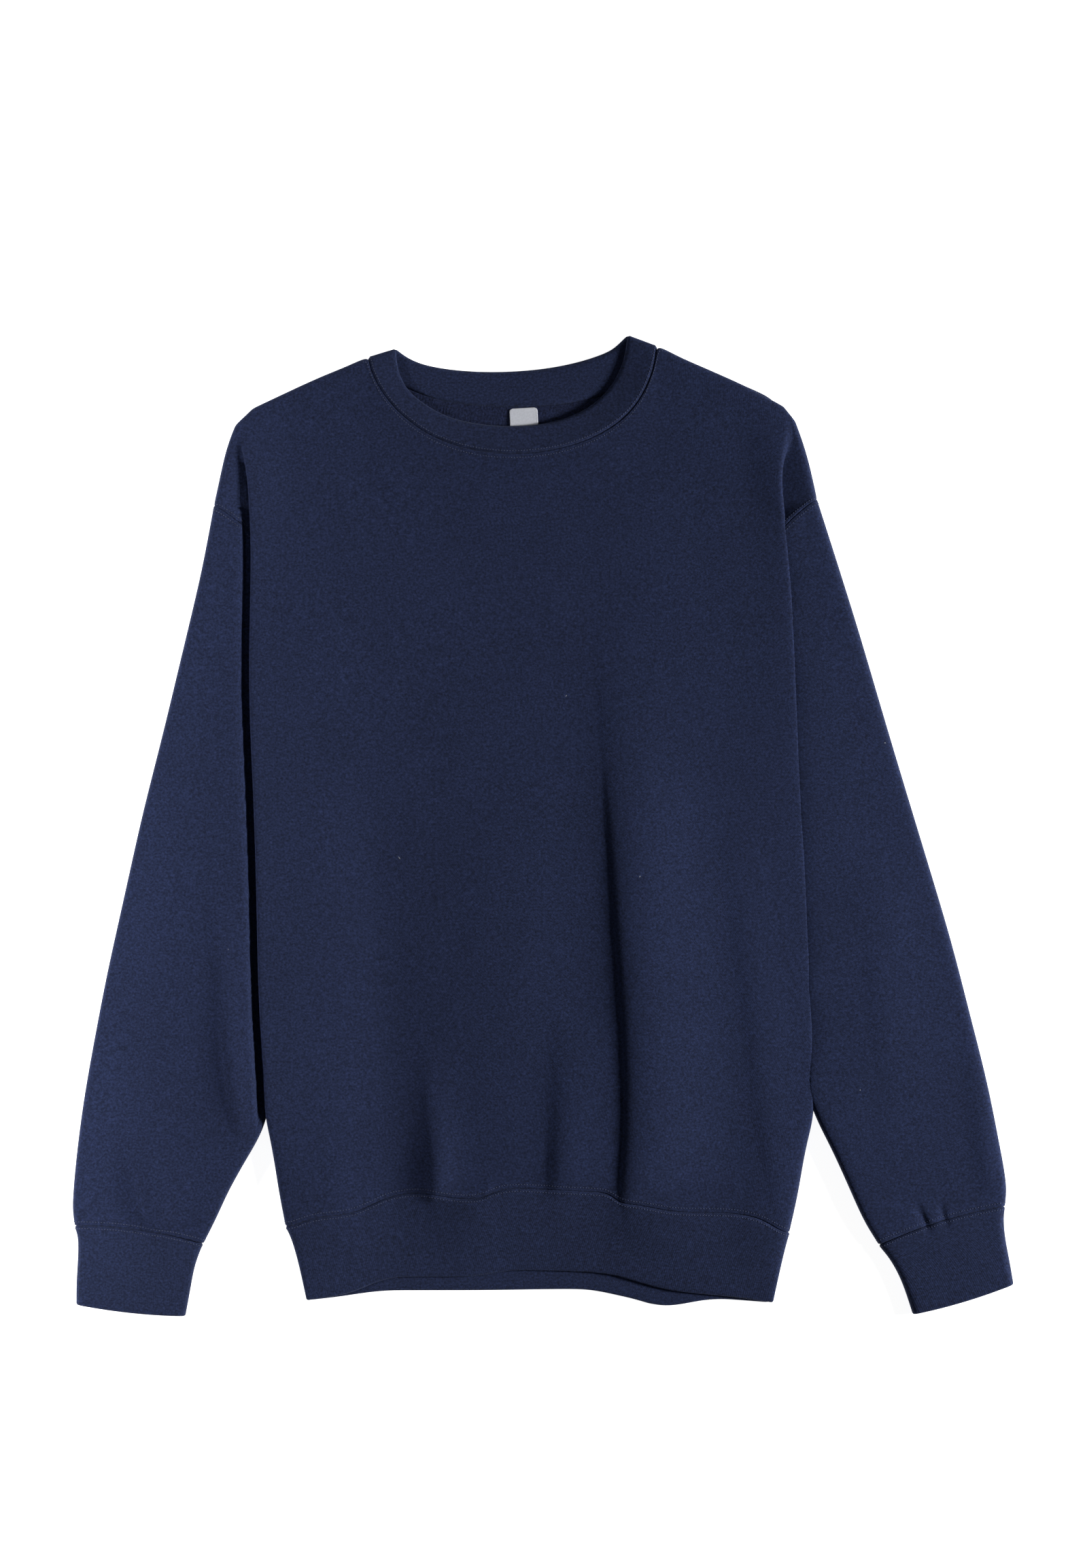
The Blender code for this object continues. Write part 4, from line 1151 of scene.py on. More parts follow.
# Folds of the front, which the hem band carries on where they reach it
FRONT_FOLDS = (
    Tuck.through(
        (36, 165, 0, 13, 50), (39, 115, 1.2, 12, 54), (43, 60, 2.8, 13, 60), (47, 8, 4, 13, 64),
        (50, -30, 4.4, 14, 68), (54, -93, 4.6, 15, 70), (58.4, -143, 4.7, 15, 70),
        (60.4, -194, 4.8, 15, 70), (60, -235, 4.6, 14, 66), (57.5, -262, 3.6, 8, 58),
        (56.5, -277, 2.2, 7, 54), (59.5, -287, 0.9, 7, 50), (62, -310, 0.5, 8, 50),
        (64, -350, 0.3, 8, 50),
        lead=0.75,
        lead_run=24,
    ),
    Tuck.through(
        (44.5, 50, 0, 3.4, 44), (47, 8, 1.5, 3.2, 46), (50, -30, 2.1, 3, 48), (54, -93, 2.5, 2.8, 50),
        (58.4, -143, 2.7, 2.8, 50), (60.4, -194, 2.8, 2.8, 50), (60, -235, 2.8, 2.8, 46),
        (57.5, -262, 2.6, 2.8, 30), (56.5, -277, 1.2, 2.8, 24), (59.5, -286, 0, 3, 24),
        lead=0.3,
        lead_run=5,
    ),
    Tuck.through(
        (-93, -160, 0, 9, 17), (-89, -215, 2.4, 8, 19), (-86.5, -240, 4, 7, 19),
        (-85.5, -260, 4.8, 5, 18), (-85.6, -271, 4, 3.4, 17), (-85, -280, 0.4, 3.2, 12),
        lead=0.9,
        lead_run=10,
    ),
    Tuck.through(
        (7, -130, 0, 9, 24), (6.6, -180, 2.2, 9, 48), (5.6, -225, 3.8, 6, 48), (4.4, -255, 4.2, 4.6, 46),
        (3.6, -268, 3.2, 4, 42), (3.4, -277, 0.5, 5, 18),
    ),
    Tuck.through(
        (130, 20, 0, 16, 34), (139, -60, 1.2, 14, 32), (149, -143, 2, 12, 30), (156, -205, 2, 12, 28),
        (165, -260, 1.8, 10, 24), (170, -290, 0.8, 10, 20), (172, -310, 0, 10, 20),
    ),
    Crease.through(
        (-36, -262, 0, 2.4, 2.4), (-39.5, -267, -1.1, 2.4, 2), (-43, -273, -0.9, 2.4, 2),
        (-45, -277, 0, 2.4, 2.4),
    ),
)
# Folds of the right sleeve, then of the left one
SLEEVE_FOLDS = (
    (
        Tuck.through(
            (-312, -232, 0, 7, 18), (-307, -250, 4.5, 8, 26), (-301, -274, 6.5, 7, 26),
            (-295, -294, 5, 6, 22), (-292, -304, 0.6, 4, 13),
            lead=0.9,
            lead_run=9,
        ),
        Tuck.through(
            (-254, -40, 0, 12, 20), (-247, -90, 3, 9, 20), (-242, -150, 6.5, 7, 18),
            (-235, -205, 7.5, 5.5, 17), (-229, -236, 0, 6, 11),
        ),
    ),
    (
        Crease.through(
            (277, -278, 0, 4, 3), (281.5, -287, 1.5, 4, 2.6), (286.5, -296.5, 2.4, 3.4, 2.2),
            (288.5, -303, 0.2, 3, 2.2),
        ),
        Crease.through(
            (295.5, -278, 0, 3, 2.2), (298, -286, 1.2, 3, 2), (300.5, -294, 1.4, 3, 2),
            (302, -300, 0.1, 3, 2),
        ),
        Tuck.through(
            (234, -10, 0, 18, 34), (238, -70, 1.3, 16, 34), (242, -140, 1.4, 16, 32),
            (250, -205, 0.6, 16, 28), (258, -250, 0, 16, 24),
        ),
        Crease.through(
            (317, -150, 0, 9, 9), (326, -205, -0.9, 9, 8), (331, -250, -1.2, 9, 7), (334, -280, 0, 8, 7),
        ),
    ),
)

# ---- Node trees


class Graph:
    """Short calls that make and link the nodes of one tree."""

    def __init__(self, tree: bpy.types.NodeTree) -> None:
        """Starts on a tree.

        Args:
            tree: The tree that the nodes go in.
        """
        self.tree = tree

    def plug(self, node: bpy.types.Node, inputs: dict[str | int, object]) -> None:
        """Gives sockets of a node their values and links.

        Args:
            node: The node.
            inputs: For its sockets by name or number, a value or the socket to link.
        """
        for name, value in inputs.items():
            if isinstance(value, Socket):
                self.tree.links.new(value, node.inputs[name])
            else:
                node.inputs[name].default_value = value

    def add(self, kind: str, inputs: dict | None = None, **settings: object) -> bpy.types.Node:
        """Makes a node.

        Args:
            kind: Its type's name.
            inputs: What plug takes.
            settings: Its own properties.

        Returns:
            The node.
        """
        node = self.tree.nodes.new(kind)
        for name, value in settings.items():
            setattr(node, name, value)
        self.plug(node, inputs or {})
        return node

    def math(self, operation: str, *values: object) -> Socket:
        """Result of a Math node on values or sockets."""
        return self.add("ShaderNodeMath", dict(enumerate(values)), operation=operation).outputs[0]

    def split(self, vector: Socket) -> bpy.types.bpy_prop_collection:
        """The three parts of a vector."""
        return self.add("ShaderNodeSeparateXYZ", {0: vector}).outputs

    def noise(self, place: Socket, scale: float, detail: float = 2.0) -> Socket:
        """Value of a noise at a place."""
        inputs = {"Vector": place, "Scale": scale, "Detail": detail}
        return self.add("ShaderNodeTexNoise", inputs).outputs[0]

    def spread(self, value: Socket, span: Range, to: Range) -> Socket:
        """A value from one range, mapped to another and kept in it."""
        return self.add("ShaderNodeMapRange", dict(enumerate((value, *span, *to)))).outputs[0]


class Surface(Graph):
    """A new material, whose shader takes what its nodes make."""

    def __init__(self, name: str, colour: Colour) -> None:
        """Makes the material.

        Args:
            name: Its name.
            colour: Its colour where its shade is 1.
        """
        self.colour = colour
        self.material = bpy.data.materials.new(name)
        self.material.use_nodes = True
        self.material.diffuse_color = (*colour, 1.0)
        super().__init__(self.material.node_tree)

    def tinted(self, shade: Socket) -> Socket:
        """Its colour times a shade."""
        scaled = {0: self.colour, "Scale": shade}
        return self.add("ShaderNodeVectorMath", scaled, operation="SCALE").outputs[0]

    def fed(self, base: Socket, rough: Socket, bump: dict, **more: object) -> bpy.types.Material:
        """Feeds the shader.

        Args:
            base: Base colour.
            rough: Roughness.
            bump: Inputs of the bump.
            more: Further inputs of the shader, with _ for a space.

        Returns:
            The material.
        """
        normal = self.add("ShaderNodeBump", bump).outputs[0]
        inputs = {"Base Color": base, "Roughness": rough, "Normal": normal}
        inputs |= {name.replace("_", " "): value for name, value in more.items()}
        self.plug(self.tree.nodes["Principled BSDF"], inputs)
        return self.material


def new_group(name: str, kind: str, sockets: Sequence[tuple]) -> bpy.types.NodeTree:
    """Makes a node group.

    Args:
        name: Its name.
        kind: Type of its tree.
        sockets: For each socket its way, its type, its name and, if it has one, its usual value.

    Returns:
        The group, with its sockets and no nodes.
    """
    tree = bpy.data.node_groups.new(name, kind)
    for way, socket_kind, socket_name, *value in sockets:
        full_kind = "NodeSocket" + socket_kind
        made = tree.interface.new_socket(name=socket_name, in_out=way, socket_type=full_kind)
        if value:
            made.default_value = value[0]
    return tree


class GrainGroups:
    """The shader node groups that the cloth finishes share."""

    def __init__(self) -> None:
        """Builds each group once."""
        self.knit = self.make_knit()
        self.lint = self.make_lint()

    @staticmethod
    def make_knit() -> bpy.types.NodeTree:
        """Loops of a knitted face, with flecks of lighter fibre, clouds of wear and fuzz.

        Returns:
            The group.
        """
        sockets = [("INPUT", "Vector", "Place"), ("INPUT", "Vector", "Spot")]
        usual = (("Wale", 0.0009), ("Course", 0.0007), ("Fleck Length", 0.004), ("Fleck Height", 0.0012))
        sockets += [("INPUT", "Float", name, value) for name, value in usual]
        sockets += [("OUTPUT", "Float", name) for name in KNIT_OUTPUTS]
        tree = new_group("knit_grain", "ShaderNodeTree", sockets)
        graph = Graph(tree)
        given = graph.add("NodeGroupInput").outputs
        parts = graph.split(given["Place"])
        wale = graph.math("DIVIDE", parts[0], given["Wale"])
        course = graph.math("DIVIDE", parts[1], given["Course"])
        ridge = graph.math("ABSOLUTE", graph.math("SINE", graph.math("MULTIPLY", wale, math.pi)))
        lean = graph.math("MULTIPLY_ADD", ridge, LOOP_LEAN, course)
        loop = graph.math("SINE", graph.math("MULTIPLY", lean, 2.0 * math.pi))
        spots = graph.split(given["Spot"])
        sizes = ("Fleck Length", "Fleck Height", "Fleck Height")
        scaled = [graph.math("DIVIDE", spots[axis], given[size]) for axis, size in enumerate(sizes)]
        stretched = graph.add("ShaderNodeCombineXYZ", dict(enumerate(scaled))).outputs[0]
        flecks = {"Vector": stretched, "Scale": 1.0, "Detail": 4.0, "Roughness": 0.7}
        made = (
            graph.spread(graph.add("ShaderNodeTexNoise", flecks).outputs[0], NOISE_SPAN, UNIT),
            graph.spread(graph.noise(given["Spot"], CLOUD_SCALE, 3.0), NOISE_SPAN, UNIT),
            graph.math("MULTIPLY_ADD", loop, LOOP_HEIGHT, ridge),
            graph.noise(given["Spot"], FUZZ_SCALE),
        )
        graph.add("NodeGroupOutput", dict(zip(KNIT_OUTPUTS, made)))
        return tree

    @staticmethod
    def make_lint() -> bpy.types.NodeTree:
        """Rare bits of pale lint that lie on the cloth.

        Returns:
            The group.
        """
        sockets = [("INPUT", "Vector", "Place"), ("OUTPUT", "Float", "Mask")]
        usual = (("Spacing", 0.02), ("Size", 0.03), ("Share", 0.1))
        sockets += [("INPUT", "Float", name, value) for name, value in usual]
        tree = new_group("lint_specks", "ShaderNodeTree", sockets)
        graph = Graph(tree)
        given = graph.add("NodeGroupInput").outputs
        scale = graph.math("DIVIDE", 1.0, given["Spacing"])
        cells = graph.add("ShaderNodeTexVoronoi", {"Vector": given["Place"], "Scale": scale}).outputs
        speck = graph.math("LESS_THAN", cells["Distance"], given["Size"])
        chosen = graph.math("LESS_THAN", graph.split(cells["Color"])[0], given["Share"])
        graph.add("NodeGroupOutput", {"Mask": graph.math("MULTIPLY", speck, chosen)})
        return tree


@dataclass(frozen=True)
class ClothFinish:
    """A knitted finish: its colour, its grain and how it takes the light."""

    name: str
    colour: Colour
    wale: float
    course: float
    fleck: tuple[float, float]
    fleck_depth: float
    loops: float
    fuzz: float
    roughness: float
    sheen: float
    bump: float
    wear: float = 0.05
    fibre: float = 0.35
    roughness_reach: float = 0.04
    specular: float = 0.2
    sheen_roughness: float = 0.45
    bump_height: float = 0.4

    def material(self, groups: GrainGroups) -> bpy.types.Material:
        """Builds the finish.

        Args:
            groups: The groups that make its grain.

        Returns:
            The material.
        """
        surface = Surface(self.name, self.colour)
        place = surface.add("ShaderNodeUVMap", uv_map=UV_NAME).outputs[0]
        spot = surface.add("ShaderNodeTexCoord").outputs["Object"]
        sizes = {"Wale": self.wale, "Course": self.course}
        sizes |= {"Fleck Length": self.fleck[0], "Fleck Height": self.fleck[1]}
        inputs = {"Place": place, "Spot": spot} | {name: size * MM for name, size in sizes.items()}
        knit = surface.add("ShaderNodeGroup", inputs, node_tree=groups.knit)
        fleck, cloud, loops, fuzz = (knit.outputs[name] for name in KNIT_OUTPUTS)
        lint = surface.add("ShaderNodeGroup", {"Place": place}, node_tree=groups.lint)
        grain = surface.spread(fleck, UNIT, about(1.0, self.fleck_depth))
        wear = surface.spread(cloud, UNIT, about(1.0, self.wear))
        fibre = surface.spread(fuzz, NOISE_SPAN, about(1.0, self.fibre))
        shade = surface.math("MULTIPLY", surface.math("MULTIPLY", grain, wear), fibre)
        mixed = {0: lint.outputs["Mask"], 6: surface.tinted(shade), 7: LINT_COLOUR}
        speckled = surface.add("ShaderNodeMix", mixed, data_type="RGBA").outputs[2]
        height = surface.math("MULTIPLY_ADD", fuzz, self.fuzz, surface.math("MULTIPLY", loops, self.loops))
        return surface.fed(
            speckled,
            surface.spread(fleck, UNIT, about(self.roughness, self.roughness_reach)),
            {"Height": height, "Strength": self.bump, "Distance": self.bump_height * MM},
            Specular_IOR_Level=self.specular,
            Sheen_Weight=self.sheen,
            Sheen_Roughness=self.sheen_roughness,
            Sheen_Tint=SHEEN_TINT,
        )


@dataclass(frozen=True)
class PlainFinish:
    """A finish with only a fine grain, for what isn't knitted."""

    name: str
    colour: Colour
    variation: float
    grain: float
    roughness: float
    bump: float
    glow: float = 0.0
    roughness_reach: float = 0.05
    bump_height: float = 0.2

    def material(self) -> bpy.types.Material:
        """Builds the finish.

        Returns:
            The material.
        """
        surface = Surface(self.name, self.colour)
        place = surface.add("ShaderNodeTexCoord").outputs["Object"]
        noise = surface.noise(place, 1.0 / (self.grain * MM))
        return surface.fed(
            surface.tinted(surface.spread(noise, NOISE_SPAN, about(1.0, self.variation))),
            surface.spread(noise, NOISE_SPAN, about(self.roughness, self.roughness_reach)),
            {"Height": noise, "Strength": self.bump, "Distance": self.bump_height * MM},
            Emission_Color=WHITE,
            Emission_Strength=self.glow,
        )


@dataclass(frozen=True)
class LabelFinish:
    """Bare white woven label: a fine satin weave with a denser selvage along its sides."""

    name: str = "woven_label"
    colour: Colour = (0.70, 0.72, 0.79)
    thread: float = 0.35
    width: float = 21.0
    selvage: float = 1.2
    selvage_edge: float = 0.8
    selvage_shade: float = -0.07
    selvage_height: float = 0.8
    weave_height: float = 0.4
    wear_scale: float = 700.0
    wear: Range = (0.92, 1.04)
    roughness: Range = (0.45, 0.6)
    bump: float = 0.35
    bump_height: float = 0.2

    def material(self) -> bpy.types.Material:
        """Builds the finish.

        Returns:
            The material.
        """
        surface = Surface(self.name, self.colour)
        place = surface.add("ShaderNodeUVMap", uv_map=UV_NAME).outputs[0]
        parts = surface.split(place)
        turns = 2.0 * math.pi / (self.thread * MM)
        warp, weft = (surface.math("SINE", surface.math("MULTIPLY", part, turns)) for part in parts[:2])
        middle = self.width / 2 * MM
        aside = surface.math("ABSOLUTE", surface.math("SUBTRACT", parts[0], middle))
        inner_edges = (middle - self.selvage * MM, middle - self.selvage_edge * self.selvage * MM)
        border = surface.spread(aside, inner_edges, UNIT)
        noise = surface.noise(place, self.wear_scale)
        worn = surface.spread(noise, NOISE_SPAN, self.wear)
        weave = surface.math("MULTIPLY", surface.math("MULTIPLY", warp, weft), self.weave_height)
        height = surface.math("MULTIPLY_ADD", border, self.selvage_height, weave)
        return surface.fed(
            surface.tinted(surface.math("MULTIPLY_ADD", border, self.selvage_shade, worn)),
            surface.spread(noise, NOISE_SPAN, self.roughness),
            {"Height": height, "Strength": self.bump, "Distance": self.bump_height * MM},
        )


class Wardrobe:
    """Every finish of the garment, built once: the outer and inner one of each slot, and the thread."""

    def __init__(self) -> None:
        """Builds the materials."""
        groups = GrainGroups()
        fleece = ClothFinish(
            name="navy_fleece",
            colour=(0.0151, 0.0228, 0.0635),
            wale=0.9,
            course=0.75,
            fleck=(2.1, 1.6),
            fleck_depth=0.48,
            loops=0.3,
            fuzz=0.7,
            roughness=0.93,
            sheen=0.10,
            bump=0.5,
        )
        brushed = ClothFinish(
            name="brushed_inside",
            colour=(0.0120, 0.0172, 0.0490),
            wale=2.4,
            course=2.2,
            fleck=(2.2, 2.0),
            fleck_depth=0.50,
            loops=0.2,
            fuzz=1.6,
            roughness=0.97,
            sheen=0.14,
            bump=0.9,
        )
        rib = replace(
            fleece,
            name="navy_rib",
            colour=(0.0148, 0.0223, 0.0615),
            wale=1.5,
            course=0.8,
            fleck_depth=0.47,
            loops=0.35,
            fuzz=0.6,
            roughness=0.92,
        )
        fleece, brushed, rib = (finish.material(groups) for finish in (fleece, brushed, rib))
        label = LabelFinish().material()
        self.faces = {Slot.FLEECE: (fleece, brushed), Slot.RIB: (rib, rib), Slot.LABEL: (label, label)}
        # The thread is lighter than the cloth: partly the thread's own tone, partly a painted highlight for
        # the light that the raised stitches catch.
        self.thread = PlainFinish(
            name="navy_thread",
            colour=(0.042, 0.055, 0.115),
            variation=0.2,
            grain=0.3,
            roughness=0.6,
            bump=0.4,
        ).material()


# ---- Pieces of the garment


@dataclass
class NeckLines:
    """The stations round the neck rib, which the panels and the rib share."""

    stations: list[NeckStation] = field(default_factory=list)

    def __post_init__(self) -> None:
        """Works out the stations, two for each row of the tables, from the right shoulder."""
        rows = NECK_FRONT + NECK_BACK
        count = len(rows)
        corners = (0, len(NECK_FRONT) - 1)
        for i, row in enumerate(rows):
            near = [rows[(i + k) % count] for k in (-1, 0, 1, 2)]
            if i in corners:
                between = self.corner_station(near[1], near[2])
            elif (i + 1) % count in corners:
                between = self.corner_station(near[2], near[1])
            else:
                between = NeckStation(*((9.0 * (b + c) - a - d) / 16.0 for a, b, c, d in zip(*near)))
            seam_z = max(between.seam_z, RIB / 2)
            edge_z = max(between.edge_z, RIB / 2)
            self.stations += [row, between._replace(seam_z=seam_z, edge_z=edge_z)]

    @staticmethod
    def corner_station(corner: NeckStation, beside: NeckStation) -> NeckStation:
        """Station that rounds the rib where it turns from front to back at a shoulder.

        Args:
            corner: The shoulder's own station.
            beside: The next one of the tables.

        Returns:
            The station between them.
        """
        near, far = (NeckStation(*blend([corner], [beside], share)[0]) for share in CORNER_SHARES)
        return near._replace(seam_z=far.seam_z, edge_z=far.edge_z)

    def panel_edge(self, index: int, on_back: bool = False) -> Point:
        """Where a panel meets the rib. At the back, where only the floor is below, they touch.

        Args:
            index: Number of the station.
            on_back: Whether the panel is the back.

        Returns:
            The point, in the middle of the panel's wall.
        """
        here = self.stations[index % len(self.stations)]
        ends = (0, LEFT_NECK_STATION, len(self.stations))
        from_corner = min(abs(index - corner) for corner in ends)
        gap = (*CORNER_SEAMS, BACK_SEAM if on_back else CURVED_SEAM)[min(from_corner, len(CORNER_SEAMS))]
        across = (here.seam_x - here.edge_x, here.seam_y - here.edge_y)
        run = math.hypot(*across) / gap
        return here.seam_x + across[0] / run, here.seam_y + across[1] / run, here.seam_z


def shoulder_top(x: float) -> Point:
    """Where the front's edge is on the outline of a shoulder."""
    side = RIGHT_SIDE if x < 0.0 else LEFT_SIDE
    return x, smooth(side.shoulder, abs(x)) - FLEECE / 2, FRONT_EDGE


@dataclass
class Body:
    """The front and back panels."""

    neck: NeckLines
    front_rows: Rows = field(default_factory=list)
    back_rows: Rows = field(default_factory=list)
    refine: int = 4
    back_refine: int = 3
    waves: Waves = Waves(seed=11, lengths=(14.0, 130.0), height=0.10, starts=6.5, over=2.5)

    def __post_init__(self) -> None:
        """Works out the rows of both panels, which the hem band hangs from."""
        self.front_rows = self.make_front_rows()
        self.back_rows = self.make_back_rows()

    def front_top(self, at: float) -> Point:
        """Top of a line of the front: on the neck seam, or on the outline of a shoulder.

        Args:
            at: Number of the line, which may be between two of the table.

        Returns:
            The point.
        """
        if RIGHT_NECK_COLUMN <= at <= LEFT_NECK_COLUMN:
            return self.neck.panel_edge(round(2 * (at - RIGHT_NECK_COLUMN)))
        tops = [(i, column.top) for i, column in enumerate(FRONT_COLUMNS) if column.top is not None]
        tops += [(RIGHT_NECK_COLUMN, NECK_FRONT[0].seam_x), (LEFT_NECK_COLUMN, NECK_FRONT[-1].seam_x)]
        return shoulder_top(smooth(tops, at))

    def front_line(self, at: float) -> list[Point]:
        """Works out a line down the front.

        Args:
            at: Number of the line, which may be between two of the table.

        Returns:
            A point for every row.
        """
        x, y, z = self.front_top(at)
        hem_x = field_at(FRONT_COLUMNS, "hem", at)
        ys = down(y, smooth(HEM_SEAM, hem_x) + SEAM / 2)
        station = round(2 * (at - RIGHT_NECK_COLUMN))
        spreads = {LEFT_NECK_STATION - i: spread for i, spread in enumerate(NECK_SPREADS)}
        spreads |= {i: -spread for i, spread in enumerate(NECK_SPREADS)}
        spread = spreads.get(station, 0.0)
        xs = [(y, x), (y - ROUND, x + spread), (ys[-1], hem_x)]
        zs = [(y - ROUND, max(z, SHOULDER)), (ys[-1], field_at(FRONT_COLUMNS, "z_hem", at))]
        for level, name in ((CHEST_Y, "chest"), (WAIST_Y, "waist")):
            xs.append((level, field_at(FRONT_COLUMNS, name, at)))
            zs.append((level, field_at(FRONT_COLUMNS, "z_" + name, at)))
        points = [(smooth(xs, row_y), row_y, smooth(zs, row_y)) for row_y in ys]
        for j, step in enumerate(EDGE_STEPS):
            points[j] = (points[j][0], points[j][1], lerp(z, points[j][2], rounding(step)))
        return points

    def make_front_rows(self) -> Rows:
        """Works out the rows of the front from the neck down.

        Returns:
            For each row, its points from the wearer's right side to the left.
        """
        lines = [self.front_line(i / 2) for i in range(2 * len(FRONT_COLUMNS) - 1)]
        rows = []
        for j, (right, left) in enumerate(zip(RIGHT_SIDE.side_rows(), LEFT_SIDE.side_rows())):
            across = [line[j] for line in lines]
            beside_right = blend(right[-1:], across[:1], 0.5)
            beside_left = blend(across[-1:], left[-1:], 0.5)
            rows.append(right + beside_right + across + beside_left + left[::-1])
        return rows

    @staticmethod
    def back_side(side: Side) -> Rows:
        """Works out one side of the back.

        Args:
            side: The side.

        Returns:
            For each row, its end and the points that round its edge.
        """
        ends = side.row_ends(BACK_SEAM)
        start = ends[FIRST_ARMHOLE_ROW]
        rows = []
        for j, end in enumerate(ends):
            if j < FIRST_ARMHOLE_ROW:
                turn = 0.0
            elif j < FIRST_SIDE_SEAM_ROW:
                turn = rounding(math.dist(end, start) / ROUND)
            else:
                turn = 1.0
                gap = ARMPIT_GAP if j == FIRST_SIDE_SEAM_ROW else SIDE_SEAM_GAP
                end = Place(end.out - SEAM - gap, end.y)
            edge = lerp(BACK_EDGE, RESTING, turn)
            places = [(end.out - ROUND * step, lerp(edge, RESTING, rounding(step))) for step in EDGE_STEPS]
            rows.append([(side.sign * out, end.y, z) for out, z in places])
        return rows

    def make_back_rows(self) -> Rows:
        """Works out the rows of the back, flat but for the edges that turn up to the shoulder seams.

        Returns:
            For each row, its points from the wearer's right side to the left.
        """
        indices = range(len(self.neck.stations), LEFT_NECK_STATION - 1, -1)
        neck = [self.neck.panel_edge(index, True) for index in indices]
        tops = [(x, y, BACK_EDGE) for x, y, _ in map(shoulder_top, BACK_SHOULDER_RIGHT)]
        tops += [(x, y, min(z, BACK_EDGE) - (RIB - FLEECE) / 2) for x, y, z in neck]
        tops += [(x, y, BACK_EDGE) for x, y, _ in map(shoulder_top, BACK_SHOULDER_LEFT)]
        right, left = self.back_side(RIGHT_SIDE), self.back_side(LEFT_SIDE)
        span = (right[0][0][0], left[0][0][0])
        straight, over = BACK_SPREADS
        turns = [rounding(step) for step in EDGE_STEPS] + [1.0] * (ROW_COUNT - len(EDGE_STEPS))
        lines = []
        for x, y, z in tops:
            share = (x - span[0]) / (span[1] - span[0])
            hem_x = lerp(right[-1][0][0], left[-1][0][0], share)
            ys = down(y, smooth(HEM_SEAM_BACK, hem_x) + SEAM / 2)
            line = []
            for j, row_y in enumerate(ys):
                spread = lerp(right[j][0][0], left[j][0][0], share)
                line_x = lerp(x, spread, ease((y - row_y - straight) / over))
                line.append((line_x, row_y, lerp(z, RESTING, turns[j])))
            lines.append(line)
        rows = []
        for j, ends in enumerate(zip(right, left)):
            raised = [[(x, y, lerp(BACK_EDGE, z, turns[j])) for x, y, z in end] for end in ends]
            rows.append(raised[0] + [line[j] for line in lines] + raised[1][::-1])
        return rows

    def front(self) -> Cloth:
        """The front, with its folds where it lies on top.

        Returns:
            The sheet.
        """
        cloth = Cloth(np.array(self.front_rows), FLEECE).refined(self.refine, self.refine)
        rounded = self.refine * len(EDGE_STEPS)
        beside_sleeve = slice(rounded, self.refine * (FIRST_SIDE_SEAM_ROW - 1) + 1)
        RIGHT_SIDE.press(cloth.points[beside_sleeve, : rounded + 1])
        LEFT_SIDE.press(cloth.points[beside_sleeve, -rounded - 1 :])
        lay_folds(cloth, FRONT_FOLDS, self.waves)
        return cloth

    def back(self) -> Cloth:
        """The back, flat on the surface."""
        return Cloth(np.array(self.back_rows), FLEECE).refined(self.back_refine, self.back_refine)


def lay_folds(cloth: Cloth, folds: Sequence[Fold], waves: Waves) -> None:
    """Lays folds and a little unevenness into the upper layer of a piece.

    Args:
        cloth: The piece.
        folds: Its folds.
        waves: Its unevenness.
    """
    points = cloth.points
    upper = eased((points[..., 2] - waves.starts) / waves.over)
    points[..., 2] += upper * (waves.lift(points) + sum(fold.lift(points) for fold in folds))


@dataclass
class SleevePieces:
    """A sleeve and its cuff."""

    side: Side
    folds: tuple[Fold, ...]
    sleeve_refine: tuple[int, int] = (4, 9)
    cuff_refine: tuple[int, int] = (4, 5)

    def oriented(self, rings: Rows) -> np.ndarray:
        """Rings with their side's sign, turned so that the grid faces outwards."""
        grid = np.array(rings) * (self.side.sign, 1.0, 1.0)
        return grid[:, ::-1] if self.side.sign > 0 else grid

    def sleeve(self) -> Cloth:
        """The sleeve from its armhole to the seam with its cuff.

        Returns:
            The sheet.
        """
        stations = halved(self.side.sleeve)
        rings = []
        for i, station in enumerate(stations):
            share = i / (len(stations) - 1)
            bend = max(0.0, 1.0 - share / BEND_ENDS) ** 2
            bow = CUFF_SEAM_BOW * ease((share - BOW_STARTS[0]) / BOW_STARTS[1])
            controls = self.side.seam_cubic(station, FLEECE, bend, bow)
            height_at = partial(self.side.sleeve_height, full=station.height)
            rings.append(tube_ring(controls, height_at, RESTING))
        cloth = Cloth(self.oriented(rings), FLEECE, closed=True).refined(*self.sleeve_refine)
        self.side.press(cloth.points)
        lay_folds(cloth, self.folds, self.waves())
        return cloth

    def cuff(self) -> Cloth:
        """The cuff, whose first two rings carry on from the end of the sleeve.

        Returns:
            The sheet.
        """
        last, before = self.side.sleeve[-1], self.side.sleeve[-2]
        length = math.dist((last.outer_out, last.outer_y), (before.outer_out, before.outer_y))
        stations = []
        for step in CUFF_STARTS:
            values = [lerp(b, a, 1.0 + step / length) for a, b in zip(last, before)]
            stations.append((Station(*values), CUFF_SEAM_BOW))
        for i, station in enumerate(self.side.cuff):
            stations.append((station, lerp(CUFF_SEAM_BOW, CUFF_EDGE_BOW, (i + 1) / len(self.side.cuff))))
        rings = []
        for station, bow in stations:
            controls = self.side.seam_cubic(station, RIB, 0.0, bow)
            rings.append(tube_ring(controls, lambda place: CUFF_HEIGHT, RIB / 2))
        cloth = Cloth(self.oriented(rings), RIB, closed=True).refined(*self.cuff_refine)
        lay_folds(cloth, self.folds, self.waves())
        return cloth

    def waves(self) -> Waves:
        """The unevenness of both pieces."""
        return Waves(seed=23 + self.side.sign, lengths=(14.0, 110.0), height=0.10, starts=5.0, over=3.0)


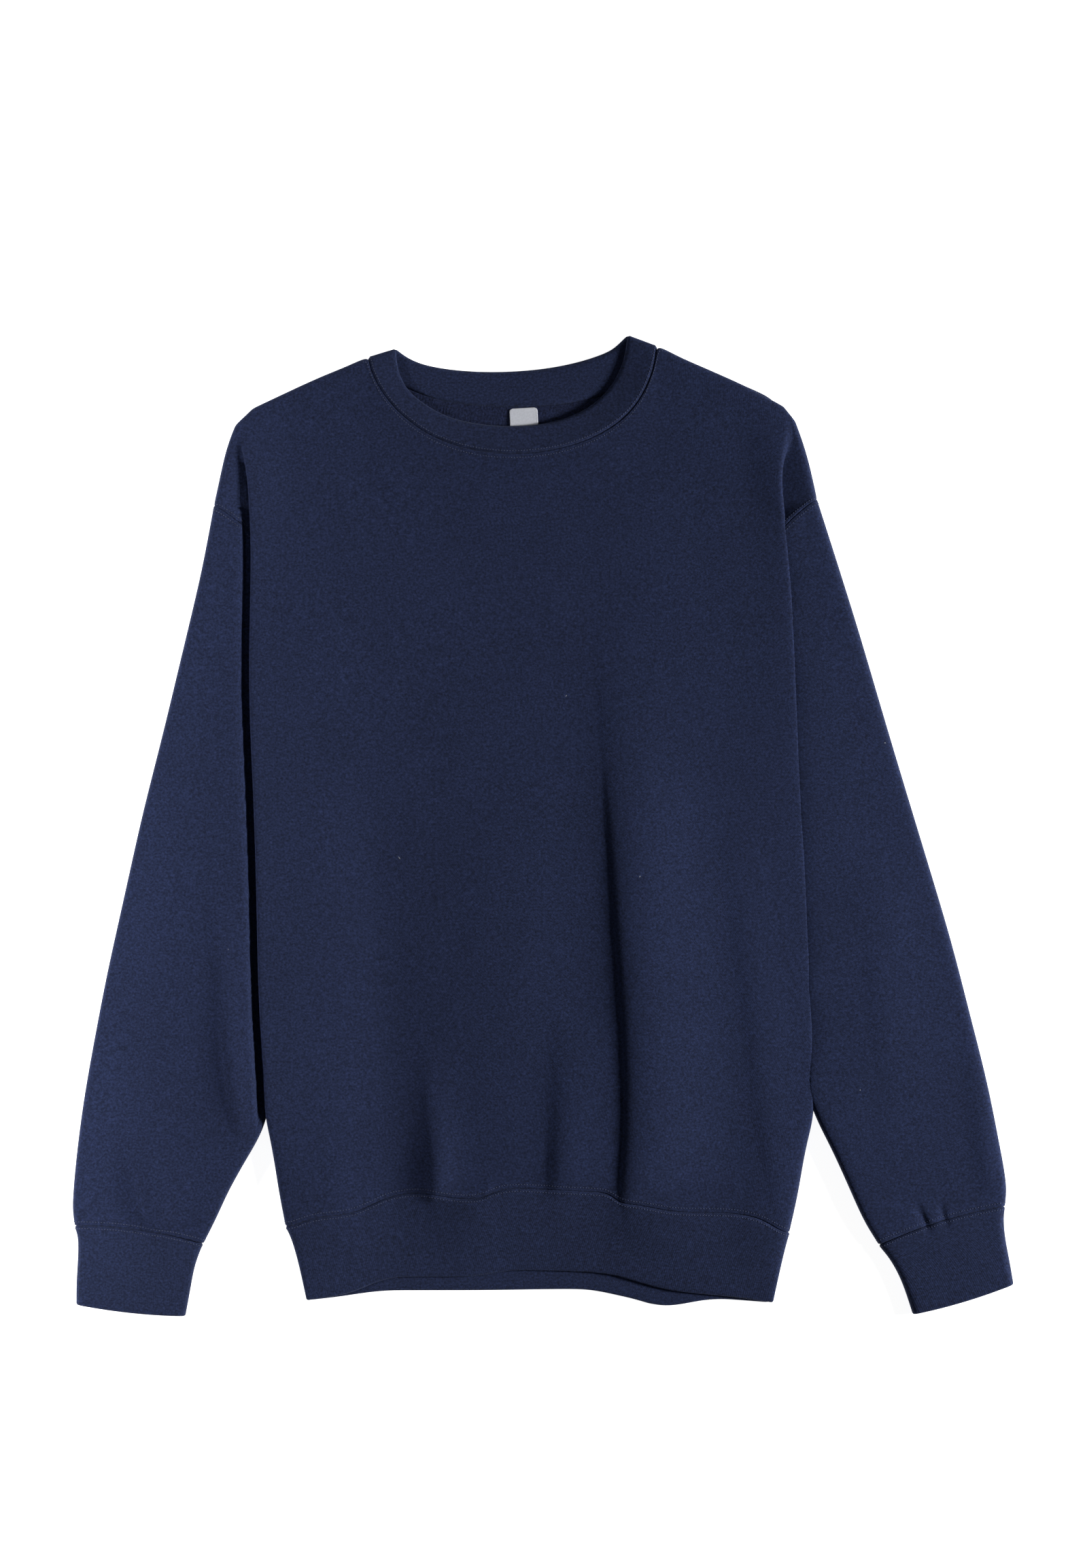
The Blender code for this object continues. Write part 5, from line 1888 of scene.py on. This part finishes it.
@dataclass
class HemBand:
    """The hem band, a folded band of rib in a closed ring."""

    body: Body
    waves_height: float = 0.06
    refine: tuple[int, int] = (6, 4)

    def cloth(self) -> Cloth:
        """The band, down from the last row of the front and of the back.

        Returns:
            The sheet.
        """
        front_seam = self.body.front_rows[-1]
        back_seam = self.body.back_rows[-1][::-1][1:-1]
        (_, *full), (_, *end) = HEM_SIDES[0], HEM_SIDES[-1]
        rings = []
        for depth, *widths in HEM_SIDES:
            ring = []
            for i, (x, y, z) in enumerate(front_seam + back_seam):
                on_front = i < len(front_seam) and z > RESTING + OFF_FLOOR
                side = 0 if x < 0.0 else 1
                ratio = widths[side] / full[side]
                end_ratio = end[side] / full[side]
                bottom = smooth(HEM_EDGE_FRONT if on_front else HEM_EDGE_BACK, x * end_ratio)
                height = lerp(z, min(z, HEM_CLOSED), ease(depth)) if on_front else max(z, RIB / 2)
                ring.append((x * ratio, lerp(y - CURVED_SEAM, bottom, depth), height))
            rings.append(ring)
        cloth = Cloth(np.array(rings), RIB, closed=True).refined(*self.refine)
        lay_folds(cloth, FRONT_FOLDS, replace(self.body.waves, height=self.waves_height))
        return cloth


@dataclass
class NeckRib:
    """The neck rib, a folded band in a closed ring."""

    neck: NeckLines
    shares: tuple[float, ...] = (0.0, 0.34, 0.67, 1.0)
    refine: tuple[int, int] = (4, 5)

    def cloth(self) -> Cloth:
        """The band, from its seam to its folded edge.

        Returns:
            The sheet.
        """
        seam = [station[:3] for station in self.neck.stations]
        edge = [station[3:] for station in self.neck.stations]
        rows = [blend(seam, edge, share) for share in self.shares]
        return Cloth(np.array(rows)[:, ::-1], RIB, closed=True).refined(*self.refine)


@dataclass
class NeckLabel:
    """The bare woven label, sewn under the back neck seam."""

    width: float = 21.0
    length: float = 20.0
    corner: float = 2.4
    x: float = -14.6
    y: float = 312.9
    tilt: float = math.radians(3.0)
    off_back: float = 0.5
    curl: float = 0.9
    steps: int = 24

    def cloth(self) -> Cloth:
        """The label, from its sewn edge to its loose one, lying on the back.

        Returns:
            The sheet.
        """
        rows = []
        for j in range(self.steps + 1):
            along = self.length * j / self.steps
            row = []
            from_end = min(along, self.length - along)
            inset = self.corner * (1.0 - rounding(from_end / self.corner))
            for i in range(self.steps + 1):
                across = (self.width - 2.0 * inset) * (i / self.steps - 0.5)
                x = self.x + across * math.cos(self.tilt) + along * math.sin(self.tilt)
                y = self.y + across * math.sin(self.tilt) - along * math.cos(self.tilt)
                row.append((x, y, FLEECE + self.off_back + self.curl * ease(along / self.length)))
            rows.append(row)
        return Cloth(np.array(rows), LABEL)


# ---- Stitches


@dataclass
class Stitches:
    """Rows of stitches along seams, made by one Geometry Nodes tree."""

    material: bpy.types.Material
    pitch: float = 2.1
    length: float = 1.25
    radius: float = 0.34
    sizes: Range = (0.88, 1.1)
    seed: int = 5
    ball: tuple[int, int] = (6, 4)
    tree: bpy.types.NodeTree = field(init=False)

    def __post_init__(self) -> None:
        """Builds the tree once."""
        sockets = [(way, "Geometry", "Geometry") for way in ("INPUT", "OUTPUT")]
        sockets += [("INPUT", "Float", name, MM) for name in ("Pitch", "Length", "Radius")]
        sockets += [("INPUT", "Int", "Seed", 1), ("INPUT", "Material", "Thread")]
        self.tree = new_group("stitch_row", "GeometryNodeTree", sockets)
        graph = Graph(self.tree)
        given = graph.add("NodeGroupInput").outputs
        row = graph.add("GeometryNodeMeshToCurve", {"Mesh": given["Geometry"]}).outputs[0]
        steps = {"Curve": row, "Length": given["Pitch"]}
        spots = graph.add("GeometryNodeCurveToPoints", steps, mode="LENGTH").outputs
        round_ball = {"Segments": self.ball[0], "Rings": self.ball[1], "Radius": 0.5}
        ball = graph.add("GeometryNodeMeshUVSphere", round_ball).outputs[0]
        width = graph.math("MULTIPLY", given["Radius"], 2.0)
        size = graph.add("ShaderNodeCombineXYZ", {0: width, 1: width, 2: given["Length"]}).outputs[0]
        loop = graph.add("GeometryNodeTransform", {"Geometry": ball, "Scale": size}).outputs[0]
        sizes = {2: self.sizes[0], 3: self.sizes[1], "Seed": given["Seed"]}
        chance = graph.add("FunctionNodeRandomValue", sizes, data_type="FLOAT").outputs[1]
        placing = {name: spots[name] for name in ("Points", "Rotation")}
        placing |= {"Instance": loop, "Scale": chance}
        placed = graph.add("GeometryNodeInstanceOnPoints", placing).outputs[0]
        real = graph.add("GeometryNodeRealizeInstances", {0: placed}).outputs[0]
        dressed = {"Geometry": real, "Material": given["Thread"]}
        thread = graph.add("GeometryNodeSetMaterial", dressed).outputs[0]
        graph.add("NodeGroupOutput", {"Geometry": thread})

    def sew(self, name: str, rows: Sequence[np.ndarray]) -> bpy.types.Object:
        """Makes stitches along rows.

        Args:
            name: Name of the piece.
            rows: Lines of points on the cloth.

        Returns:
            The stitches as one plain mesh.
        """
        vertices: list[list[float]] = []
        edges: list[tuple[int, int]] = []
        for row in rows:
            start = len(vertices)
            vertices += (row * MM).tolist()
            edges += [(start + i, start + i + 1) for i in range(len(row) - 1)]
        path = bpy.data.meshes.new(name + "_path")
        path.from_pydata(vertices, edges, [])
        carrier = new_object(name + "_path", path)
        sewing = carrier.modifiers.new("stitches", "NODES")
        sewing.node_group = self.tree
        values = {
            "Pitch": self.pitch * MM,
            "Length": self.length * MM,
            "Radius": self.radius * MM,
            "Seed": self.seed,
            "Thread": self.material,
        }
        for item in self.tree.interface.items_tree:
            if item.in_out == "INPUT" and item.name in values:
                sewing[item.identifier] = values[item.name]
        shown = carrier.evaluated_get(bpy.context.evaluated_depsgraph_get())
        mesh = bpy.data.meshes.new_from_object(shown)
        mesh.name = name
        mesh.shade_smooth()
        bpy.data.objects.remove(carrier, do_unlink=True)
        return new_object(name, mesh)


# ---- The garment


@dataclass(frozen=True)
class Sheet:
    """What is listed of a piece of cloth: the cut of what shows, how it is held and what it lies on."""

    flat: tuple[float, float]
    area: float
    held: Held
    slot: Slot
    rests_on: tuple[str, ...] = ()


SLEEVE_SHEET = Sheet((0.40, 0.50), 0.138, Held.LAID, Slot.FLEECE)
CUFF_SHEET = Sheet((0.19, 0.060), 0.0107, Held.FOLDED, Slot.RIB)
UNDER_FRONT = ("back_panel", "right_sleeve", "left_sleeve")
SHEETS = {
    "front_panel": Sheet((0.60, 0.66), 0.312, Held.GATHERED, Slot.FLEECE, UNDER_FRONT),
    "back_panel": Sheet((0.46, 0.65), 0.204, Held.LAID, Slot.FLEECE),
    "right_sleeve": SLEEVE_SHEET,
    "left_sleeve": SLEEVE_SHEET,
    "neck_rib": Sheet((0.50, 0.023), 0.0107, Held.FOLDED, Slot.RIB, ("back_panel",)),
    "hem_band": Sheet((0.75, 0.060), 0.0428, Held.FOLDED, Slot.RIB),
    "right_cuff": CUFF_SHEET,
    "left_cuff": CUFF_SHEET,
    "neck_label": Sheet((0.021, 0.020), 0.00042, Held.LAID, Slot.LABEL, ("back_panel",)),
}


class Sweatshirt:
    """Builds every piece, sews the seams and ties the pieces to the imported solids."""

    def __init__(self, wardrobe: Wardrobe) -> None:
        """Works out what the pieces share.

        Args:
            wardrobe: The finishes.
        """
        self.wardrobe = wardrobe
        self.neck = NeckLines()
        self.body = Body(self.neck)
        self.sides = [SleevePieces(*pair) for pair in zip((RIGHT_SIDE, LEFT_SIDE), SLEEVE_FOLDS)]
        self.cloths: dict[str, Cloth] = {}
        self.pieces: dict[str, bpy.types.Object] = {}

    def build(self) -> None:
        """Makes the cloth pieces."""
        self.cloths["front_panel"] = self.body.front()
        self.cloths["back_panel"] = self.body.back()
        self.cloths["neck_rib"] = NeckRib(self.neck).cloth()
        self.cloths["hem_band"] = HemBand(self.body).cloth()
        for side in self.sides:
            self.cloths[side.side.word + "_sleeve"] = side.sleeve()
            self.cloths[side.side.word + "_cuff"] = side.cuff()
        self.cloths["neck_label"] = NeckLabel().cloth()
        for name, cloth in self.cloths.items():
            outside, inside = self.wardrobe.faces[SHEETS[name].slot]
            if name == "back_panel":
                # its columns run as the front's do, so its upward face is the garment's inside
                outside, inside = inside, outside
            self.pieces[name] = cloth.shell(name + "_cloth", outside, inside)
            LOG.info("%s: %d faces", name, len(self.pieces[name].data.polygons))

    def seam_rows(self) -> dict[str, list[np.ndarray]]:
        """Works out the rows of stitches on both sides of every seam.

        Returns:
            The rows, by the piece that they go with.
        """
        columns = len(self.body.front_rows[0]) - 1
        first = SIDE_POINTS + 1 + 2 * RIGHT_NECK_COLUMN
        neck_front = (first / columns, (first + LEFT_NECK_STATION) / columns)
        armhole = (FIRST_ARMHOLE_ROW / (ROW_COUNT - 1), (FIRST_SIDE_SEAM_ROW - 1) / (ROW_COUNT - 1))

        def row(name: str, edge: Edge, face: Face = Face.OUTSIDE, span: Range = UNIT) -> np.ndarray:
            """A row along an edge of a piece."""
            inset = RIB_STITCHES if SHEETS[name].slot is Slot.RIB else FLEECE_STITCHES
            return self.cloths[name].stitch_row(edge, face, inset, span)

        rows = {
            "neck_rib": [row("neck_rib", Edge.TOP), row("front_panel", Edge.TOP, span=neck_front)],
            "hem_band": [
                row("hem_band", Edge.TOP),
                row("front_panel", Edge.BOTTOM),
                row("back_panel", Edge.BOTTOM, Face.INSIDE),
            ],
        }
        for word, edge in (("right", Edge.FIRST), ("left", Edge.LAST)):
            sleeve, cuff = word + "_sleeve", word + "_cuff"
            rows[cuff] = [row(cuff, Edge.TOP), row(sleeve, Edge.BOTTOM)]
            rows[sleeve] = [
                row(sleeve, Edge.TOP),
                row("front_panel", edge, span=armhole),
                row("back_panel", edge, Face.INSIDE, armhole),
            ]
        return rows

    def sew(self) -> None:
        """Sews the seams, ties every piece and its stitching to the body and hides the imported solid of
        the same name.
        """
        stitches = Stitches(self.wardrobe.thread)
        sewn = {}
        for name, rows in self.seam_rows().items():
            sewn[name] = stitches.sew(name + "_stitching", rows)
            LOG.info("%s_stitching: %d faces", name, len(sewn[name].data.polygons))
        for name, piece in self.pieces.items():
            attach(piece, BODY)
            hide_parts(name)
            if name in sewn:
                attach(sewn[name], BODY)


# ---- Studio


@dataclass(frozen=True)
class SoftLight:
    """A soft rectangular light: places and size in metres, power in watts, spread in degrees."""

    name: str
    place: Point
    aim: Point
    size: tuple[float, float]
    power: float
    spread: float

    def add(self) -> None:
        """Puts the light in the scene."""
        data = bpy.data.lights.new(self.name, "AREA")
        data.shape = "RECTANGLE"
        data.size_y, data.size = self.size
        data.energy = self.power
        data.spread = math.radians(self.spread)
        light = new_object(self.name, data)
        light.location = self.place
        light.rotation_euler = (Vector(self.place) - Vector(self.aim)).to_track_quat("Z", "Y").to_euler()


@dataclass(frozen=True)
class Studio:
    """The floor, the lights and the camera. Lengths are in metres."""

    lights: tuple[SoftLight, ...] = (
        SoftLight("key", (2.6, 0.1, 1.15), (0.0, -0.1, 0.0), (0.7, 0.5), 22.2, 80.0),
        SoftLight("fill", (-1.75, 0.0, 0.75), (-0.58, 0.0, 0.0), (0.1, 2.2), 4.7, 22.0),
        SoftLight("rim", (-0.90, 0.015, 1.20), (-0.345, -0.093, 0.0), (0.05, 0.9), 0.055, 8.0),
    )
    frame_height: float = 1.1696
    distance: float = 4.0
    garment_middle: float = 0.006
    centre: tuple[float, float] = (-0.00025, 0.0322)
    sensor: float = 36.0
    world: float = 0.06
    floor_glow: float = 0.92
    floor_reach: float = 6.0
    floor_drop: float = 0.0002

    def build(self) -> None:
        """Makes all of it."""
        self.add_floor()
        for light in self.lights:
            light.add()
        self.add_camera()
        world = bpy.data.worlds.new("studio")
        world.use_nodes = True
        background = world.node_tree.nodes["Background"]
        Graph(world.node_tree).plug(background, {0: WHITE, 1: self.world})
        scene = bpy.context.scene
        scene.world = world
        scene.view_settings.view_transform = "Standard"
        scene.view_settings.look = "None"

    def add_floor(self) -> None:
        """A plain pale floor, wide enough for every view."""
        reach = self.floor_reach
        mesh = bpy.data.meshes.new("floor")
        corners = [(-reach, -reach, 0.0), (reach, -reach, 0.0), (reach, reach, 0.0), (-reach, reach, 0.0)]
        mesh.from_pydata(corners, [], [(0, 1, 2, 3)])
        finish = PlainFinish(
            name="pale_floor",
            colour=(0.90, 0.90, 0.90),
            variation=0.01,
            grain=40.0,
            roughness=0.8,
            bump=0.02,
            glow=self.floor_glow,
        )
        mesh.materials.append(finish.material())
        floor = new_object("floor", mesh)
        floor.location.z = -self.floor_drop

    def add_camera(self) -> None:
        """A long lens straight above the garment."""
        data = bpy.data.cameras.new("camera")
        data.sensor_width = self.sensor
        data.lens = self.sensor * self.distance / self.frame_height
        camera = new_object("camera", data)
        camera.location = (*self.centre, self.distance + self.garment_middle)
        bpy.context.scene.camera = camera


def main() -> None:
    """Builds the studio and the garment in order."""
    logging.basicConfig(level=logging.INFO, format="%(name)s: %(message)s", stream=sys.stdout)
    Studio().build()
    sweatshirt = Sweatshirt(Wardrobe())
    sweatshirt.build()
    sweatshirt.sew()


if __name__ == "__main__":
    main()
